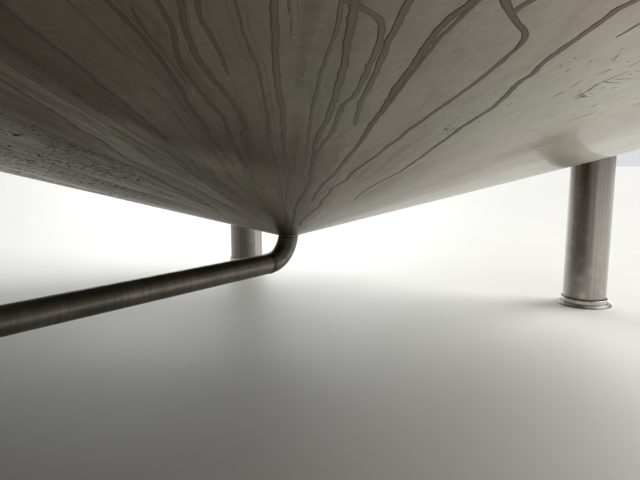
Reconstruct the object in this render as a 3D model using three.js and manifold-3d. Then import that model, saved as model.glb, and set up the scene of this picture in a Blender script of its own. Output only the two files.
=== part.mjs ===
// A vertical stainless steel storage tank on five tubular legs, with a shallow cone bottom, a centre
// outlet that turns into a level pipe, a rolled shell in four courses and a cone roof with a hatch.
// Millimetres, +Z up. The origin is on the floor, on the tank's axis. The outlet pipe runs towards -Y.
import * as THREE from "three";
import { mergeVertices } from "three/addons/utils/BufferGeometryUtils.js";
import Module from "manifold-3d";

const wasm = await Module();
wasm.setup();
const rad = THREE.MathUtils.degToRad;

// Clearance where two pieces are welded or rest on each other
const WELD_GAP = 0.3;

// Shell and ends
const SHELL_RADIUS = 2000;
const SHEET = 4;
const CONE_SLOPE = rad(15.6);
const CONE_APEX_HEIGHT = 504;
const ROOF_SLOPE = rad(15);
const KNUCKLE_RADIUS = 50;
const KNUCKLE_STEPS = 3;
const ROUND_STEPS = 72;
const COURSES = 4;
const COURSE_HEIGHT = 1500;
const COURSE_SEAMS = [0, 70, 20, 90];

// Outlet
const PIPE_RADIUS = 36.7;
const PIPE_WALL = 2;
const BEND_RADIUS = 110;
const PIPE_HEIGHT = 422;
const PIPE_END = 1950;
const LIP_FILLET = 6;
const LIP_DROP = 1;
const VALVE_LENGTH = 64;
const VALVE_FLANGE = 52;
const VALVE_BODY = 46;
const CAP_LENGTH = 32;
const LEVER_LENGTH = 150;
const HANGER_DISTANCE = 1650;

// Legs and feet
const LEG_RADIUS = 109.55;
const LEG_WALL = 3;
const LEG_RING = 1844;
const LEG_AZIMUTHS = [68.5, 140.5, 212.5, 284.5, 356.5];
const FOOT_RADIUS = 140;
const FOOT_HEIGHT = 18;
const FOOT_FLOOR = 8;
const COLLAR_HEIGHTS = [20, 108, 20, 20, 20];
const COLLAR_GAP = 2.5;
const COLLAR_THICKNESS = 6;
const PAD_RADIUS = 145;
const PAD_SHEET = 4;

// Roof fittings
const HATCH_RADIUS = 250;
const HATCH_NECK_HEIGHT = 120;
const HATCH_FLANGE = 22;
const HATCH_RIM_TOP = 8;
const BREATHER_DISTANCE = 900;
const BREATHER_HEIGHT = 110;
const LUG_AZIMUTHS = [0, 90, 180, 270];
const LUG_REACH = 57.5;
const LUG_HEIGHT = 150;
const LUG_EYE = 16;

// Front door
const DOOR_HEIGHT = 1640;
const DOOR_HALF_WIDTH = 210;
const DOOR_HALF_HEIGHT = 265;
const DOOR_RIM = 22;
const DOOR_LAP = 14;
const DOOR_FACE = 2040;
const DOOR_SHEET = 12;
const DOOR_BOSS = 14;
const ARM_HALF_SPAN = 285;
const ARM_HALF_HEIGHT = 22;
const ARM_THICKNESS = 16;
const HINGE_PIN = 9;
const HINGE_EAR = 8;
const WHEEL_RADIUS = 75;

// Small front fittings
const DIAL_AZIMUTH = 288;
const DIAL_HEIGHT = 1700;
const TAP_AZIMUTH = 250;
const TAP_HEIGHT = 1560;

// Facets round small pieces
const TUBE_STEPS = 24;
const PIN_STEPS = 16;

const SHEET_STEEL = { color: 0x8c887e, roughness: 0.42, metalness: 0.85 };
const TUBE_STEEL = { color: 0x7c7a72, roughness: 0.38, metalness: 0.85 };
const DARK_STEEL = { color: 0x4a4642, roughness: 0.45, metalness: 0.8 };
const BRIGHT_STEEL = { color: 0xb6b4ae, roughness: 0.28, metalness: 0.9 };
const SEALANT = { color: 0x8a7868, roughness: 0.8, metalness: 0.0 };
const BLACK_GRIP = { color: 0x1c1c1e, roughness: 0.5, metalness: 0.0 };
const DIAL_WHITE = { color: 0xe6e4dc, roughness: 0.35, metalness: 0.0 };

const tank = new THREE.Group();

// Adds a named piece to the tank.
function add(name, geometry, finish) {
  const mesh = new THREE.Mesh(geometry, new THREE.MeshStandardMaterial(finish));
  mesh.name = name;
  tank.add(mesh);
}

// A closed mesh as a solid, for cutting and joining.
function solidOf(geometry) {
  const bare = geometry.clone();
  bare.deleteAttribute("normal");
  bare.deleteAttribute("uv");
  const merged = mergeVertices(bare, 1e-3);
  const mesh = new wasm.Mesh({
    numProp: 3,
    vertProperties: new Float32Array(merged.attributes.position.array),
    triVerts: new Uint32Array(merged.index.array),
  });
  return new wasm.Manifold(mesh);
}

// A solid as a three.js geometry.
function geometryOf(solid) {
  const mesh = solid.getMesh();
  const geometry = new THREE.BufferGeometry();
  geometry.setAttribute("position", new THREE.BufferAttribute(mesh.vertProperties, 3));
  geometry.setIndex(new THREE.BufferAttribute(mesh.triVerts, 1));
  geometry.computeVertexNormals();
  return geometry;
}

function joined(...geometries) {
  return geometryOf(geometries.map(solidOf).reduce((whole, piece) => whole.add(piece)));
}

function cut(geometry, ...cutters) {
  return geometryOf(cutters.map(solidOf).reduce((left, cutter) => left.subtract(cutter), solidOf(geometry)));
}

function common(geometry, other) {
  return geometryOf(solidOf(geometry).intersect(solidOf(other)));
}

// A profile of [radius, height] pairs, anticlockwise, turned round the Z axis.
function turned(profile, steps = TUBE_STEPS) {
  const points = profile.map(([radius, height]) => new THREE.Vector2(radius, height));
  const closesOnAxis = points[0].x === 0 && points.at(-1).x === 0;
  if (!closesOnAxis) points.push(points[0].clone());
  return new THREE.LatheGeometry(points, steps).rotateX(Math.PI / 2);
}

function disc(radius, low, high, steps = TUBE_STEPS) {
  return turned([[0, low], [radius, low], [radius, high], [0, high]], steps);
}

function ring(inner, outer, low, high, steps = TUBE_STEPS) {
  return turned([[inner, low], [outer, low], [outer, high], [inner, high]], steps);
}

// A box between two corners.
function block([x0, y0, z0], [x1, y1, z1]) {
  const box = new THREE.BoxGeometry(x1 - x0, y1 - y0, z1 - z0);
  return box.translate((x0 + x1) / 2, (y0 + y1) / 2, (z0 + z1) / 2);
}

// Points of a circular arc as [across, up] pairs, angles in radians.
function arc(across, up, radius, from, to, steps) {
  return Array.from({ length: steps + 1 }, (_, i) => {
    const angle = from + ((to - from) * i) / steps;
    return [across + radius * Math.cos(angle), up + radius * Math.sin(angle)];
  });
}

// Turns a piece made along +Z so that it points to the front, at a height.
function facingFront(geometry, height) {
  return geometry.rotateX(Math.PI / 2).translate(0, 0, height);
}

// Height of the cone bottom's underside at a distance from the axis.
function coneHeight(distance) {
  return CONE_APEX_HEIGHT + distance * Math.tan(CONE_SLOPE);
}

// How far a knuckle reaches past the corner between the shell and an end of the given slope.
function knuckleReach(slope) {
  return KNUCKLE_RADIUS * Math.tan((Math.PI / 2 - slope) / 2);
}

const SHELL_BOTTOM = coneHeight(SHELL_RADIUS) + knuckleReach(CONE_SLOPE);
const SHELL_TOP = SHELL_BOTTOM + COURSES * COURSE_HEIGHT;
const ROOF_EDGE = SHELL_TOP + knuckleReach(ROOF_SLOPE);
const LIP_HEIGHT = coneHeight(PIPE_RADIUS) - LIP_DROP;

// Height of the roof's upper face at a distance from the axis.
function roofHeight(distance) {
  return ROOF_EDGE + (SHELL_RADIUS - distance) * Math.tan(ROOF_SLOPE);
}

// Profile of the cone bottom's underside from near the lip to the shell, moved outwards by an offset.
function underside(offset) {
  const start = PIPE_RADIUS + LIP_FILLET;
  const from = CONE_SLOPE - Math.PI / 2;
  const centre = SHELL_RADIUS - KNUCKLE_RADIUS;
  return [
    [start, coneHeight(start) - offset / Math.cos(CONE_SLOPE)],
    ...arc(centre, SHELL_BOTTOM, KNUCKLE_RADIUS + offset, from, 0, KNUCKLE_STEPS),
  ];
}

// Everything above the cone bottom's underside, less an offset, as a cutter.
function aboveCone(offset) {
  return turned([
    [0, CONE_APEX_HEIGHT - offset / Math.cos(CONE_SLOPE)],
    ...underside(offset),
    [SHELL_RADIUS + offset, SHELL_TOP],
    [0, SHELL_TOP],
  ], ROUND_STEPS);
}

// Everything inside the shell, with a weld gap, as a cutter.
const insideShell = disc(SHELL_RADIUS + WELD_GAP, 0, ROOF_EDGE, ROUND_STEPS);

// The cone bottom: one sheet with a drawn lip in the middle and a knuckle that meets the shell.
function bottomCone() {
  const bore = PIPE_RADIUS - PIPE_WALL;
  const fillet = coneHeight(PIPE_RADIUS + LIP_FILLET) - LIP_FILLET * 0.25;
  return turned([
    [PIPE_RADIUS, LIP_HEIGHT],
    [PIPE_RADIUS + LIP_FILLET * 0.3, fillet],
    ...underside(0),
    ...underside(-SHEET).reverse(),
    [bore, LIP_HEIGHT + SHEET],
    [bore, LIP_HEIGHT],
  ], ROUND_STEPS);
}
add("bottom_cone", bottomCone(), SHEET_STEEL);

// A half-round rolled plate of a shell course, from one seam to the next.
function rolledPlate(seam) {
  const from = seam + WELD_GAP / 2 / SHELL_RADIUS;
  const to = seam + Math.PI - WELD_GAP / 2 / SHELL_RADIUS;
  const outline = [
    ...arc(0, 0, SHELL_RADIUS, from, to, ROUND_STEPS / 2),
    ...arc(0, 0, SHELL_RADIUS - SHEET, to, from, ROUND_STEPS / 2),
  ];
  const shape = new THREE.Shape(outline.map(([x, y]) => new THREE.Vector2(x, y)));
  return new THREE.ExtrudeGeometry(shape, { depth: COURSE_HEIGHT - WELD_GAP, bevelEnabled: false });
}

// An oval bar to the front between two distances from the axis, at the door's height.
function doorOval(halfWidth, halfHeight, near, far) {
  const oval = new THREE.Shape();
  oval.absellipse(0, 0, halfWidth, halfHeight, 0, 2 * Math.PI);
  const bar = new THREE.ExtrudeGeometry(oval, { depth: far - near, bevelEnabled: false, curveSegments: 18 });
  return bar.rotateX(Math.PI / 2).translate(0, -near, DOOR_HEIGHT);
}

// Four courses of two plates each, with staggered upright seams. The first front plate has the doorway.
for (let course = 0; course < COURSES; course += 1) {
  const low = SHELL_BOTTOM + course * COURSE_HEIGHT + WELD_GAP;
  const seam = rad(COURSE_SEAMS[course]);
  const back = rolledPlate(seam).translate(0, 0, low);
  let front = rolledPlate(seam + Math.PI).translate(0, 0, low);
  if (course === 0) {
    const rim = DOOR_RIM + WELD_GAP;
    const inner = SHELL_RADIUS * 0.9;
    front = cut(front, doorOval(DOOR_HALF_WIDTH + rim, DOOR_HALF_HEIGHT + rim, inner, DOOR_FACE));
  }
  add(`shell_${course + 1}_front`, front, SHEET_STEEL);
  add(`shell_${course + 1}_back`, back, SHEET_STEEL);
}

// Profile of the roof's upper face from the shell to the hatch, moved outwards by an offset.
function roofFace(offset) {
  const centre = SHELL_RADIUS - KNUCKLE_RADIUS;
  const low = SHELL_TOP + WELD_GAP;
  const rise = WELD_GAP + offset / Math.cos(ROOF_SLOPE);
  return [
    ...arc(centre, low, KNUCKLE_RADIUS + offset, 0, Math.PI / 2 - ROOF_SLOPE, KNUCKLE_STEPS),
    [HATCH_RADIUS, roofHeight(HATCH_RADIUS) + rise],
  ];
}
add("roof_cone", turned([...roofFace(0), ...roofFace(-SHEET).reverse()], ROUND_STEPS), SHEET_STEEL);

// Roof hatch: a neck with a flange, a dished lid, a hinge at the back and a clamp at the front.
const NECK_OUTER = HATCH_RADIUS - WELD_GAP;
const NECK_BORE = NECK_OUTER - SHEET;
const NECK_TOP = roofHeight(HATCH_RADIUS) + HATCH_NECK_HEIGHT;
const FLANGE_RADIUS = NECK_OUTER + HATCH_FLANGE;

function hatchNeck() {
  const low = roofHeight(HATCH_RADIUS) - 15;
  return turned([
    [NECK_BORE, low], [NECK_OUTER, low], [NECK_OUTER, NECK_TOP - 6],
    [FLANGE_RADIUS, NECK_TOP - 6], [FLANGE_RADIUS, NECK_TOP], [NECK_BORE, NECK_TOP],
  ], ROUND_STEPS / 2);
}

function hatchLid() {
  const dish = NECK_BORE - 20;
  return turned([
    [0, NECK_TOP + 26], [dish, NECK_TOP + 1], [FLANGE_RADIUS, NECK_TOP],
    [FLANGE_RADIUS, NECK_TOP + 5], [dish, NECK_TOP + HATCH_RIM_TOP], [0, NECK_TOP + 31],
  ], ROUND_STEPS / 2);
}

// A strap over the lid's rim and a block that carries it outside the flange; side is 1 at the back.
function rimStrap(side, halfWidth) {
  const near = FLANGE_RADIUS + WELD_GAP;
  const strapLow = NECK_TOP + HATCH_RIM_TOP + WELD_GAP;
  const strap = block([-halfWidth, NECK_BORE - 20, strapLow], [halfWidth, near + 40, strapLow + 6]);
  const post = block([-halfWidth - 8, near, NECK_TOP - 40], [halfWidth + 8, near + 40, strapLow]);
  const whole = joined(strap, post);
  return side > 0 ? whole : whole.rotateZ(Math.PI);
}

function hatchClamp() {
  const bolt = -(FLANGE_RADIUS + 22);
  const top = NECK_TOP + HATCH_RIM_TOP + 6;
  const knob = disc(20, top + 6, top + 30, PIN_STEPS).translate(0, bolt, 0);
  const rod = disc(6, top, top + 12, PIN_STEPS).translate(0, bolt, 0);
  return joined(rimStrap(-1, 15), rod, knob);
}
add("hatch_neck", hatchNeck(), BRIGHT_STEEL);
add("hatch_lid", hatchLid(), BRIGHT_STEEL);
add("hatch_hinge", rimStrap(1, 24), BRIGHT_STEEL);
add("hatch_clamp", hatchClamp(), BRIGHT_STEEL);

// A breather on the roof: a stub with a mushroom cap.
function breather() {
  const base = roofHeight(BREATHER_DISTANCE);
  const cap = base + BREATHER_HEIGHT;
  const post = turned([
    [0, SHELL_TOP], [26, SHELL_TOP], [26, cap], [55, cap - 10],
    [55, cap + 20], [30, cap + 35], [0, cap + 38],
  ]);
  const belowRoof = turned([
    [0, 0], [SHELL_RADIUS, 0], [SHELL_RADIUS, ROOF_EDGE + 2 * WELD_GAP], [0, roofHeight(0) + 2 * WELD_GAP],
  ], ROUND_STEPS);
  return cut(post.translate(0, BREATHER_DISTANCE, 0), belowRoof);
}
add("breather", breather(), BRIGHT_STEEL);

// A lifting lug: an upright plate with an eye, welded to the top course.
function liftingLug(azimuth) {
  const low = SHELL_TOP - 55 - LUG_HEIGHT;
  const outer = SHELL_RADIUS + LUG_REACH;
  const plate = block([SHELL_RADIUS - 20, -6, low], [outer, 6, low + LUG_HEIGHT]);
  const eye = facingFront(disc(LUG_EYE, -30, 30, PIN_STEPS), low + LUG_HEIGHT - 45);
  const bored = cut(plate, eye.translate(outer - 1.6 * LUG_EYE, 0, 0));
  return cut(bored.rotateZ(rad(azimuth)), insideShell);
}
LUG_AZIMUTHS.forEach((azimuth, i) => add(`lifting_lug_${i + 1}`, liftingLug(azimuth), TUBE_STEEL));

// A leg: an upright tube cut to the pad under the cone bottom.
const legCutter = aboveCone(2 * WELD_GAP + PAD_SHEET);
function legTube() {
  return ring(LEG_RADIUS - LEG_WALL, LEG_RADIUS, FOOT_FLOOR, SHELL_BOTTOM);
}

// A reinforcing pad: a round of sheet that follows the cone bottom above a leg.
const padOver = aboveCone(WELD_GAP);
const padUnder = aboveCone(WELD_GAP + PAD_SHEET);
function legPad(x, y) {
  const bar = disc(PAD_RADIUS, CONE_APEX_HEIGHT, SHELL_BOTTOM).translate(x, y, 0);
  return cut(common(bar, padUnder), padOver);
}

// A foot: a base plate with a flared skirt of sealant, hollowed for the leg.
function foot() {
  const seat = LEG_RADIUS + WELD_GAP;
  return turned([
    [0, 0], [FOOT_RADIUS, 0], [FOOT_RADIUS - 2, 3], [FOOT_RADIUS - 11, 9],
    [LEG_RADIUS + 10, FOOT_HEIGHT], [seat, FOOT_HEIGHT], [seat, FOOT_FLOOR], [0, FOOT_FLOOR],
  ]);
}

// A collar: a ring that stands on the foot, just clear of the leg.
function footCollar(height) {
  const inner = LEG_RADIUS + COLLAR_GAP;
  return ring(inner, inner + COLLAR_THICKNESS, FOOT_HEIGHT, FOOT_HEIGHT + height);
}

LEG_AZIMUTHS.forEach((azimuth, i) => {
  const x = LEG_RING * Math.cos(rad(azimuth));
  const y = LEG_RING * Math.sin(rad(azimuth));
  add(`leg_${i + 1}`, cut(legTube().translate(x, y, 0), legCutter), TUBE_STEEL);
  add(`leg_pad_${i + 1}`, legPad(x, y), SHEET_STEEL);
  add(`foot_${i + 1}`, foot().translate(x, y, 0), SEALANT);
  add(`foot_collar_${i + 1}`, footCollar(COLLAR_HEIGHTS[i]).translate(x, y, 0), TUBE_STEEL);
});

// The outlet bend: a long-radius elbow, trimmed level where it is welded to the lip.
class BendCurve extends THREE.Curve {
  getPoint(t) {
    const angle = (t * Math.PI) / 2;
    const away = BEND_RADIUS * (1 - Math.cos(angle));
    return new THREE.Vector3(0, -away, PIPE_HEIGHT + BEND_RADIUS * (1 - Math.sin(angle)));
  }
}

function outletElbow() {
  const section = new THREE.Shape();
  section.absarc(0, 0, PIPE_RADIUS, 0, 2 * Math.PI);
  section.holes.push(new THREE.Path().absarc(0, 0, PIPE_RADIUS - PIPE_WALL, 0, 2 * Math.PI));
  const bend = new THREE.ExtrudeGeometry(section, { extrudePath: new BendCurve(), steps: 12, curveSegments: 12 });
  const trim = block([-100, -100, LIP_HEIGHT - WELD_GAP], [100, 100, SHELL_BOTTOM]);
  return cut(bend, trim);
}
add("outlet_elbow", outletElbow(), DARK_STEEL);

const outletPipe = ring(PIPE_RADIUS - PIPE_WALL, PIPE_RADIUS, BEND_RADIUS + WELD_GAP, PIPE_END);
add("outlet_pipe", facingFront(outletPipe, PIPE_HEIGHT), DARK_STEEL);

// The outlet valve: a shut butterfly valve between two flanges, and a screwed cap on its end.
function outletValve() {
  const near = PIPE_END + WELD_GAP;
  const far = near + VALVE_LENGTH;
  return turned([
    [0, near], [PIPE_RADIUS, near], [PIPE_RADIUS, near + 10], [VALVE_FLANGE, near + 12],
    [VALVE_FLANGE, near + 22], [VALVE_BODY, near + 24], [VALVE_BODY, far - 24], [VALVE_FLANGE, far - 22],
    [VALVE_FLANGE, far - 12], [PIPE_RADIUS, far - 10], [PIPE_RADIUS, far], [0, far],
  ]);
}

function outletCap() {
  const near = PIPE_END + 2 * WELD_GAP + VALVE_LENGTH;
  const far = near + CAP_LENGTH;
  const rim = PIPE_RADIUS + 12;
  return turned([[0, near], [rim - 4, near], [rim, near + 3], [rim, far - 5], [rim - 5, far], [0, far]]);
}

// The valve's lever, square to the pipe as on a shut valve.
function valveLever() {
  const middle = -(PIPE_END + WELD_GAP + VALVE_LENGTH / 2);
  const low = PIPE_HEIGHT + VALVE_BODY + WELD_GAP;
  const outline = new THREE.Shape();
  outline.moveTo(0, -14);
  outline.lineTo(LEVER_LENGTH, -9);
  outline.absarc(LEVER_LENGTH, 0, 9, -Math.PI / 2, Math.PI / 2);
  outline.lineTo(0, 14);
  outline.absarc(0, 0, 14, Math.PI / 2, (3 * Math.PI) / 2);
  const bar = new THREE.ExtrudeGeometry(outline, { depth: 6, bevelEnabled: false, curveSegments: 4 });
  return joined(disc(7, low, low + 26, PIN_STEPS), bar.translate(0, 0, low + 22)).translate(0, middle, 0);
}
add("outlet_valve", facingFront(outletValve(), PIPE_HEIGHT), BRIGHT_STEEL);
add("outlet_cap", facingFront(outletCap(), PIPE_HEIGHT), BRIGHT_STEEL);
add("outlet_valve_lever", valveLever(), BRIGHT_STEEL);

// The hanger that carries the pipe: a flat bar down from the cone bottom to a saddle round the pipe.
function pipeHanger() {
  const near = HANGER_DISTANCE - 20;
  const far = HANGER_DISTANCE + 20;
  const clear = PIPE_RADIUS + WELD_GAP;
  const top = coneHeight(far) + 20;
  const bar = block([-20, -HANGER_DISTANCE - 3, PIPE_HEIGHT], [20, -HANGER_DISTANCE + 3, top]);
  const saddle = facingFront(disc(clear + 5, near, far), PIPE_HEIGHT);
  const pipeRoom = facingFront(disc(clear, near - 20, far + 20), PIPE_HEIGHT);
  return cut(joined(bar, saddle), pipeRoom, aboveCone(WELD_GAP));
}
add("pipe_hanger", pipeHanger(), TUBE_STEEL);

// Front door: an oval frame welded through the shell and an outward door with a boss.
const doorOuter = doorOval(DOOR_HALF_WIDTH + DOOR_RIM, DOOR_HALF_HEIGHT + DOOR_RIM, 1962, DOOR_FACE);
const doorBore = doorOval(DOOR_HALF_WIDTH, DOOR_HALF_HEIGHT, 1900, DOOR_FACE + 60);
add("door_frame", cut(doorOuter, doorBore), BRIGHT_STEEL);

const DOOR_FRONT = DOOR_FACE + DOOR_SHEET;
const ARM_NEAR = DOOR_FRONT + DOOR_BOSS + WELD_GAP;
const ARM_FAR = ARM_NEAR + ARM_THICKNESS;
const ARM_MIDDLE = (ARM_NEAR + ARM_FAR) / 2;
const doorPlate = doorOval(DOOR_HALF_WIDTH + DOOR_LAP, DOOR_HALF_HEIGHT + DOOR_LAP, DOOR_FACE, DOOR_FRONT);
const doorBoss = facingFront(disc(32, DOOR_FRONT - 2, DOOR_FRONT + DOOR_BOSS, TUBE_STEPS), DOOR_HEIGHT);
add("door", joined(doorPlate, doorBoss), BRIGHT_STEEL);

// The arm across the door, with a knuckle at each end for the hinge's and the latch's pin.
function doorArm() {
  const low = DOOR_HEIGHT - ARM_HALF_HEIGHT;
  const high = DOOR_HEIGHT + ARM_HALF_HEIGHT;
  const bar = block([-ARM_HALF_SPAN, -ARM_FAR, low], [ARM_HALF_SPAN, -ARM_NEAR, high]);
  const ends = [-ARM_HALF_SPAN, ARM_HALF_SPAN];
  const knuckles = ends.map((x) => disc(HINGE_PIN + 7, low, high, PIN_STEPS).translate(x, -ARM_MIDDLE, 0));
  const bores = ends.map((x) =>
    disc(HINGE_PIN + WELD_GAP, low - 5, high + 5, PIN_STEPS).translate(x, -ARM_MIDDLE, 0));
  return cut(joined(bar, ...knuckles), ...bores);
}

// Two ears welded to the shell with an upright pin through them, and a head of some radius on the pin.
function doorEars(x, headRadius) {
  const reach = ARM_HALF_HEIGHT + WELD_GAP;
  const far = -(ARM_MIDDLE + HINGE_PIN + 7);
  const ears = [-reach - HINGE_EAR, reach].map((z) =>
    block([x - 18, far, DOOR_HEIGHT + z], [x + 18, -SHELL_RADIUS * 0.97, DOOR_HEIGHT + z + HINGE_EAR]));
  const foot = DOOR_HEIGHT - reach - HINGE_EAR;
  const head = DOOR_HEIGHT + reach + HINGE_EAR;
  const pin = disc(HINGE_PIN, foot, head, PIN_STEPS).translate(x, -ARM_MIDDLE, 0);
  const cap = disc(headRadius, head - 2, head + 8, PIN_STEPS).translate(x, -ARM_MIDDLE, 0);
  return cut(joined(...ears, pin, cap), insideShell);
}

// The handwheel in front of the arm, with three cross spokes and a hub.
function handwheel() {
  const near = ARM_FAR + WELD_GAP;
  const middle = near + 14;
  const rim = new THREE.TorusGeometry(WHEEL_RADIUS, 7, 6, TUBE_STEPS).rotateX(Math.PI / 2);
  const hub = facingFront(disc(18, near, near + 22, PIN_STEPS), DOOR_HEIGHT);
  const spokes = [0, 60, 120].map((turn) =>
    block([-WHEEL_RADIUS, -4, -5], [WHEEL_RADIUS, 4, 5]).rotateY(rad(turn)).translate(0, -middle, DOOR_HEIGHT));
  return joined(rim.translate(0, -middle, DOOR_HEIGHT), hub, ...spokes);
}
add("door_arm", doorArm(), BRIGHT_STEEL);
add("door_hinge", doorEars(-ARM_HALF_SPAN, HINGE_PIN + 3), BRIGHT_STEEL);
add("door_latch", doorEars(ARM_HALF_SPAN, HINGE_PIN + 8), BRIGHT_STEEL);
add("door_handwheel", handwheel(), BLACK_GRIP);

// Turns a piece made along +Z so that it stands out of the shell at an azimuth and height.
function onShell(geometry, azimuth, height) {
  return cut(geometry.rotateY(Math.PI / 2).rotateZ(rad(azimuth)).translate(0, 0, height), insideShell);
}

const dial = turned([
  [0, SHELL_RADIUS - 10], [12, SHELL_RADIUS - 10], [12, SHELL_RADIUS + 40], [50, SHELL_RADIUS + 40],
  [50, SHELL_RADIUS + 62], [0, SHELL_RADIUS + 62],
]);
add("thermometer", onShell(dial, DIAL_AZIMUTH, DIAL_HEIGHT), DIAL_WHITE);

const tap = turned([
  [0, SHELL_RADIUS - 10], [14, SHELL_RADIUS - 10], [14, SHELL_RADIUS + 20], [20, SHELL_RADIUS + 22],
  [20, SHELL_RADIUS + 50], [9, SHELL_RADIUS + 55], [9, SHELL_RADIUS + 70], [0, SHELL_RADIUS + 70],
]);
add("sample_tap", onShell(tap, TAP_AZIMUTH, TAP_HEIGHT), BRIGHT_STEEL);

export default tank;
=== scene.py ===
import math
import random

import bmesh
import bpy
from mathutils import Matrix, Vector, noise


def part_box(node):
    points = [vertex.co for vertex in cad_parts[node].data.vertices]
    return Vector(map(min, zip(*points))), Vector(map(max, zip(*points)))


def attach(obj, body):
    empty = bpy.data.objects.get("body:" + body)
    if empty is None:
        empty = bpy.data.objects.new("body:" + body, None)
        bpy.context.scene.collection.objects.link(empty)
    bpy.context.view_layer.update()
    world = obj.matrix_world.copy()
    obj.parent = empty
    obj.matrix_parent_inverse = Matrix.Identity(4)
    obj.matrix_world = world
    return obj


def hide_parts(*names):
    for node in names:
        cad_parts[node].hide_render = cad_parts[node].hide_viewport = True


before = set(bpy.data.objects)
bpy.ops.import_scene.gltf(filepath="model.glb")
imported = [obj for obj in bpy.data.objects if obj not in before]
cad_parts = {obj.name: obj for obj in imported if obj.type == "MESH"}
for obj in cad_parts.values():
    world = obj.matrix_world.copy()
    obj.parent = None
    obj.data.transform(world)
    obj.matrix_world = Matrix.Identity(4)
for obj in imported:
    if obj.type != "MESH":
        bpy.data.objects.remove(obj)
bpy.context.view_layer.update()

# Cone bottom: one shallow cone of 4 mm cold rolled stainless sheet, with a drawn lip in the middle for
# the outlet and a knuckle round the rim, where it is butt welded to the shell. It has a dull mill
# finish, tarnished in soft streaks by the water that runs down to the outlet. Its colour also holds
# painted shade, darker on the side away from the lamps and towards the middle, and a lighter band of
# painted highlight.
APEX_HEIGHT = 0.504
CONE_SLOPE = math.radians(15.6)
SHEET = 0.004
SHELL_RADIUS = 2.0
KNUCKLE_RADIUS = 0.05
LIP_RADIUS = 0.0367
LIP_FILLET = 0.006
PLATE_GAP = 0.0003
LIP_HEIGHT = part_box("bottom_cone")[0].z
SHELL_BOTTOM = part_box("shell_1_front")[0].z - PLATE_GAP


def cone_height(distance):
    """Height of the cone's underside at a distance from the tank's axis."""
    return APEX_HEIGHT + distance * math.tan(CONE_SLOPE)


def cone_wave(x, y):
    """The slight unevenness of the rolled sheet, in metres."""
    away = min(1.0, math.hypot(x, y) / 0.4)
    return 0.0006 * away * noise.noise(Vector((2.3 * x, 2.3 * y, 0.7)))


def new_object(name, vertices, faces, sharp=35):
    """An object with that closed mesh, smooth but for edges sharper than an angle in degrees."""
    build = bmesh.new()
    points = [build.verts.new(v) for v in vertices]
    for face in faces:
        build.faces.new([points[i] for i in face])
    bmesh.ops.remove_doubles(build, verts=build.verts, dist=1e-6)
    bmesh.ops.recalc_face_normals(build, faces=build.faces)
    mesh = bpy.data.meshes.new(name)
    build.to_mesh(mesh)
    build.free()
    mesh.shade_smooth()
    mesh.set_sharp_from_angle(angle=math.radians(sharp))
    made = bpy.data.objects.new(name, mesh)
    bpy.context.scene.collection.objects.link(made)
    return made


def skin(rings, size, closed=False, first=0, capped=True):
    """Faces between rings of points that are laid one after another: closed back to the first ring, or
    capped at both ends."""
    faces = []
    for i in range(rings if closed else rings - 1):
        here, there = first + i * size, first + (i + 1) % rings * size
        faces += [(here + j, there + j, there + (j + 1) % size, here + (j + 1) % size) for j in range(size)]
    if capped and not closed:
        last = first + (rings - 1) * size
        faces += [tuple(range(first, first + size)), tuple(range(last, last + size))]
    return faces


def dress(made, finish, stands_for=None):
    """Gives a piece its finish, hides the node it stands for, if any, and parents it to the root."""
    made.data.materials.append(finish)
    if stands_for:
        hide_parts(stands_for)
    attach(made, "root")
    return made


def turned(profile, steps=96, start=0.0, sweep=2 * math.pi, place=None):
    """A closed (radius, height) profile turned round an axis, the whole way or through a sweep."""
    whole = sweep > 2 * math.pi - 1e-6
    columns = steps if whole else steps + 1
    vertices = []
    for i in range(columns):
        angle = start + sweep * i / steps
        for radius, height in profile:
            point = Vector((radius * math.cos(angle), radius * math.sin(angle), height))
            vertices.append(place @ point if place else point)
    return vertices, skin(columns, len(profile), closed=whole)


def arc(across, up, radius, first, last, steps):
    """Points of a circular arc as (across, up) pairs, angles in degrees."""
    angles = [math.radians(first + (last - first) * i / steps) for i in range(steps + 1)]
    return [(across + radius * math.cos(a), up + radius * math.sin(a)) for a in angles]


def cone_profile(offset, rings):
    """The cone's face from the lip to the shell, moved down and out by an offset."""
    start = LIP_RADIUS + LIP_FILLET
    end = SHELL_RADIUS - KNUCKLE_RADIUS + KNUCKLE_RADIUS * math.sin(CONE_SLOPE)
    rise = offset / math.cos(CONE_SLOPE)
    distances = [start + (end - start) * i / rings for i in range(rings)]
    line = [(d, cone_height(d) - rise) for d in distances]
    slope = math.degrees(CONE_SLOPE)
    corner = arc(SHELL_RADIUS - KNUCKLE_RADIUS, SHELL_BOTTOM, KNUCKLE_RADIUS + offset, slope - 90, 0, 8)
    return line + corner


def build_cone():
    start = LIP_RADIUS + LIP_FILLET
    lip = arc(start, cone_height(start) - LIP_FILLET, LIP_FILLET, 180, 106, 5)
    bore = LIP_RADIUS - 0.002
    profile = [(LIP_RADIUS, LIP_HEIGHT)] + [(r, max(z, LIP_HEIGHT)) for r, z in lip[:-1]]
    profile += cone_profile(0, 44) + cone_profile(-SHEET, 6)[::-1]
    profile += [(bore, LIP_HEIGHT + SHEET), (bore, LIP_HEIGHT)]
    vertices, faces = turned(profile, 360)
    for point in vertices:
        if point.z < SHELL_BOTTOM - KNUCKLE_RADIUS:
            point.z += cone_wave(point.x, point.y)
    return new_object("cone_sheet", vertices, faces)


def node(tree, kind, inputs, **settings):
    """A shader node, its inputs set to values or linked from sockets."""
    made = tree.nodes.new(kind)
    for key, value in settings.items():
        setattr(made, key, value)
    for key, value in inputs.items():
        if isinstance(value, bpy.types.NodeSocket):
            tree.links.new(value, made.inputs[key])
        else:
            made.inputs[key].default_value = value
    return made


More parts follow.
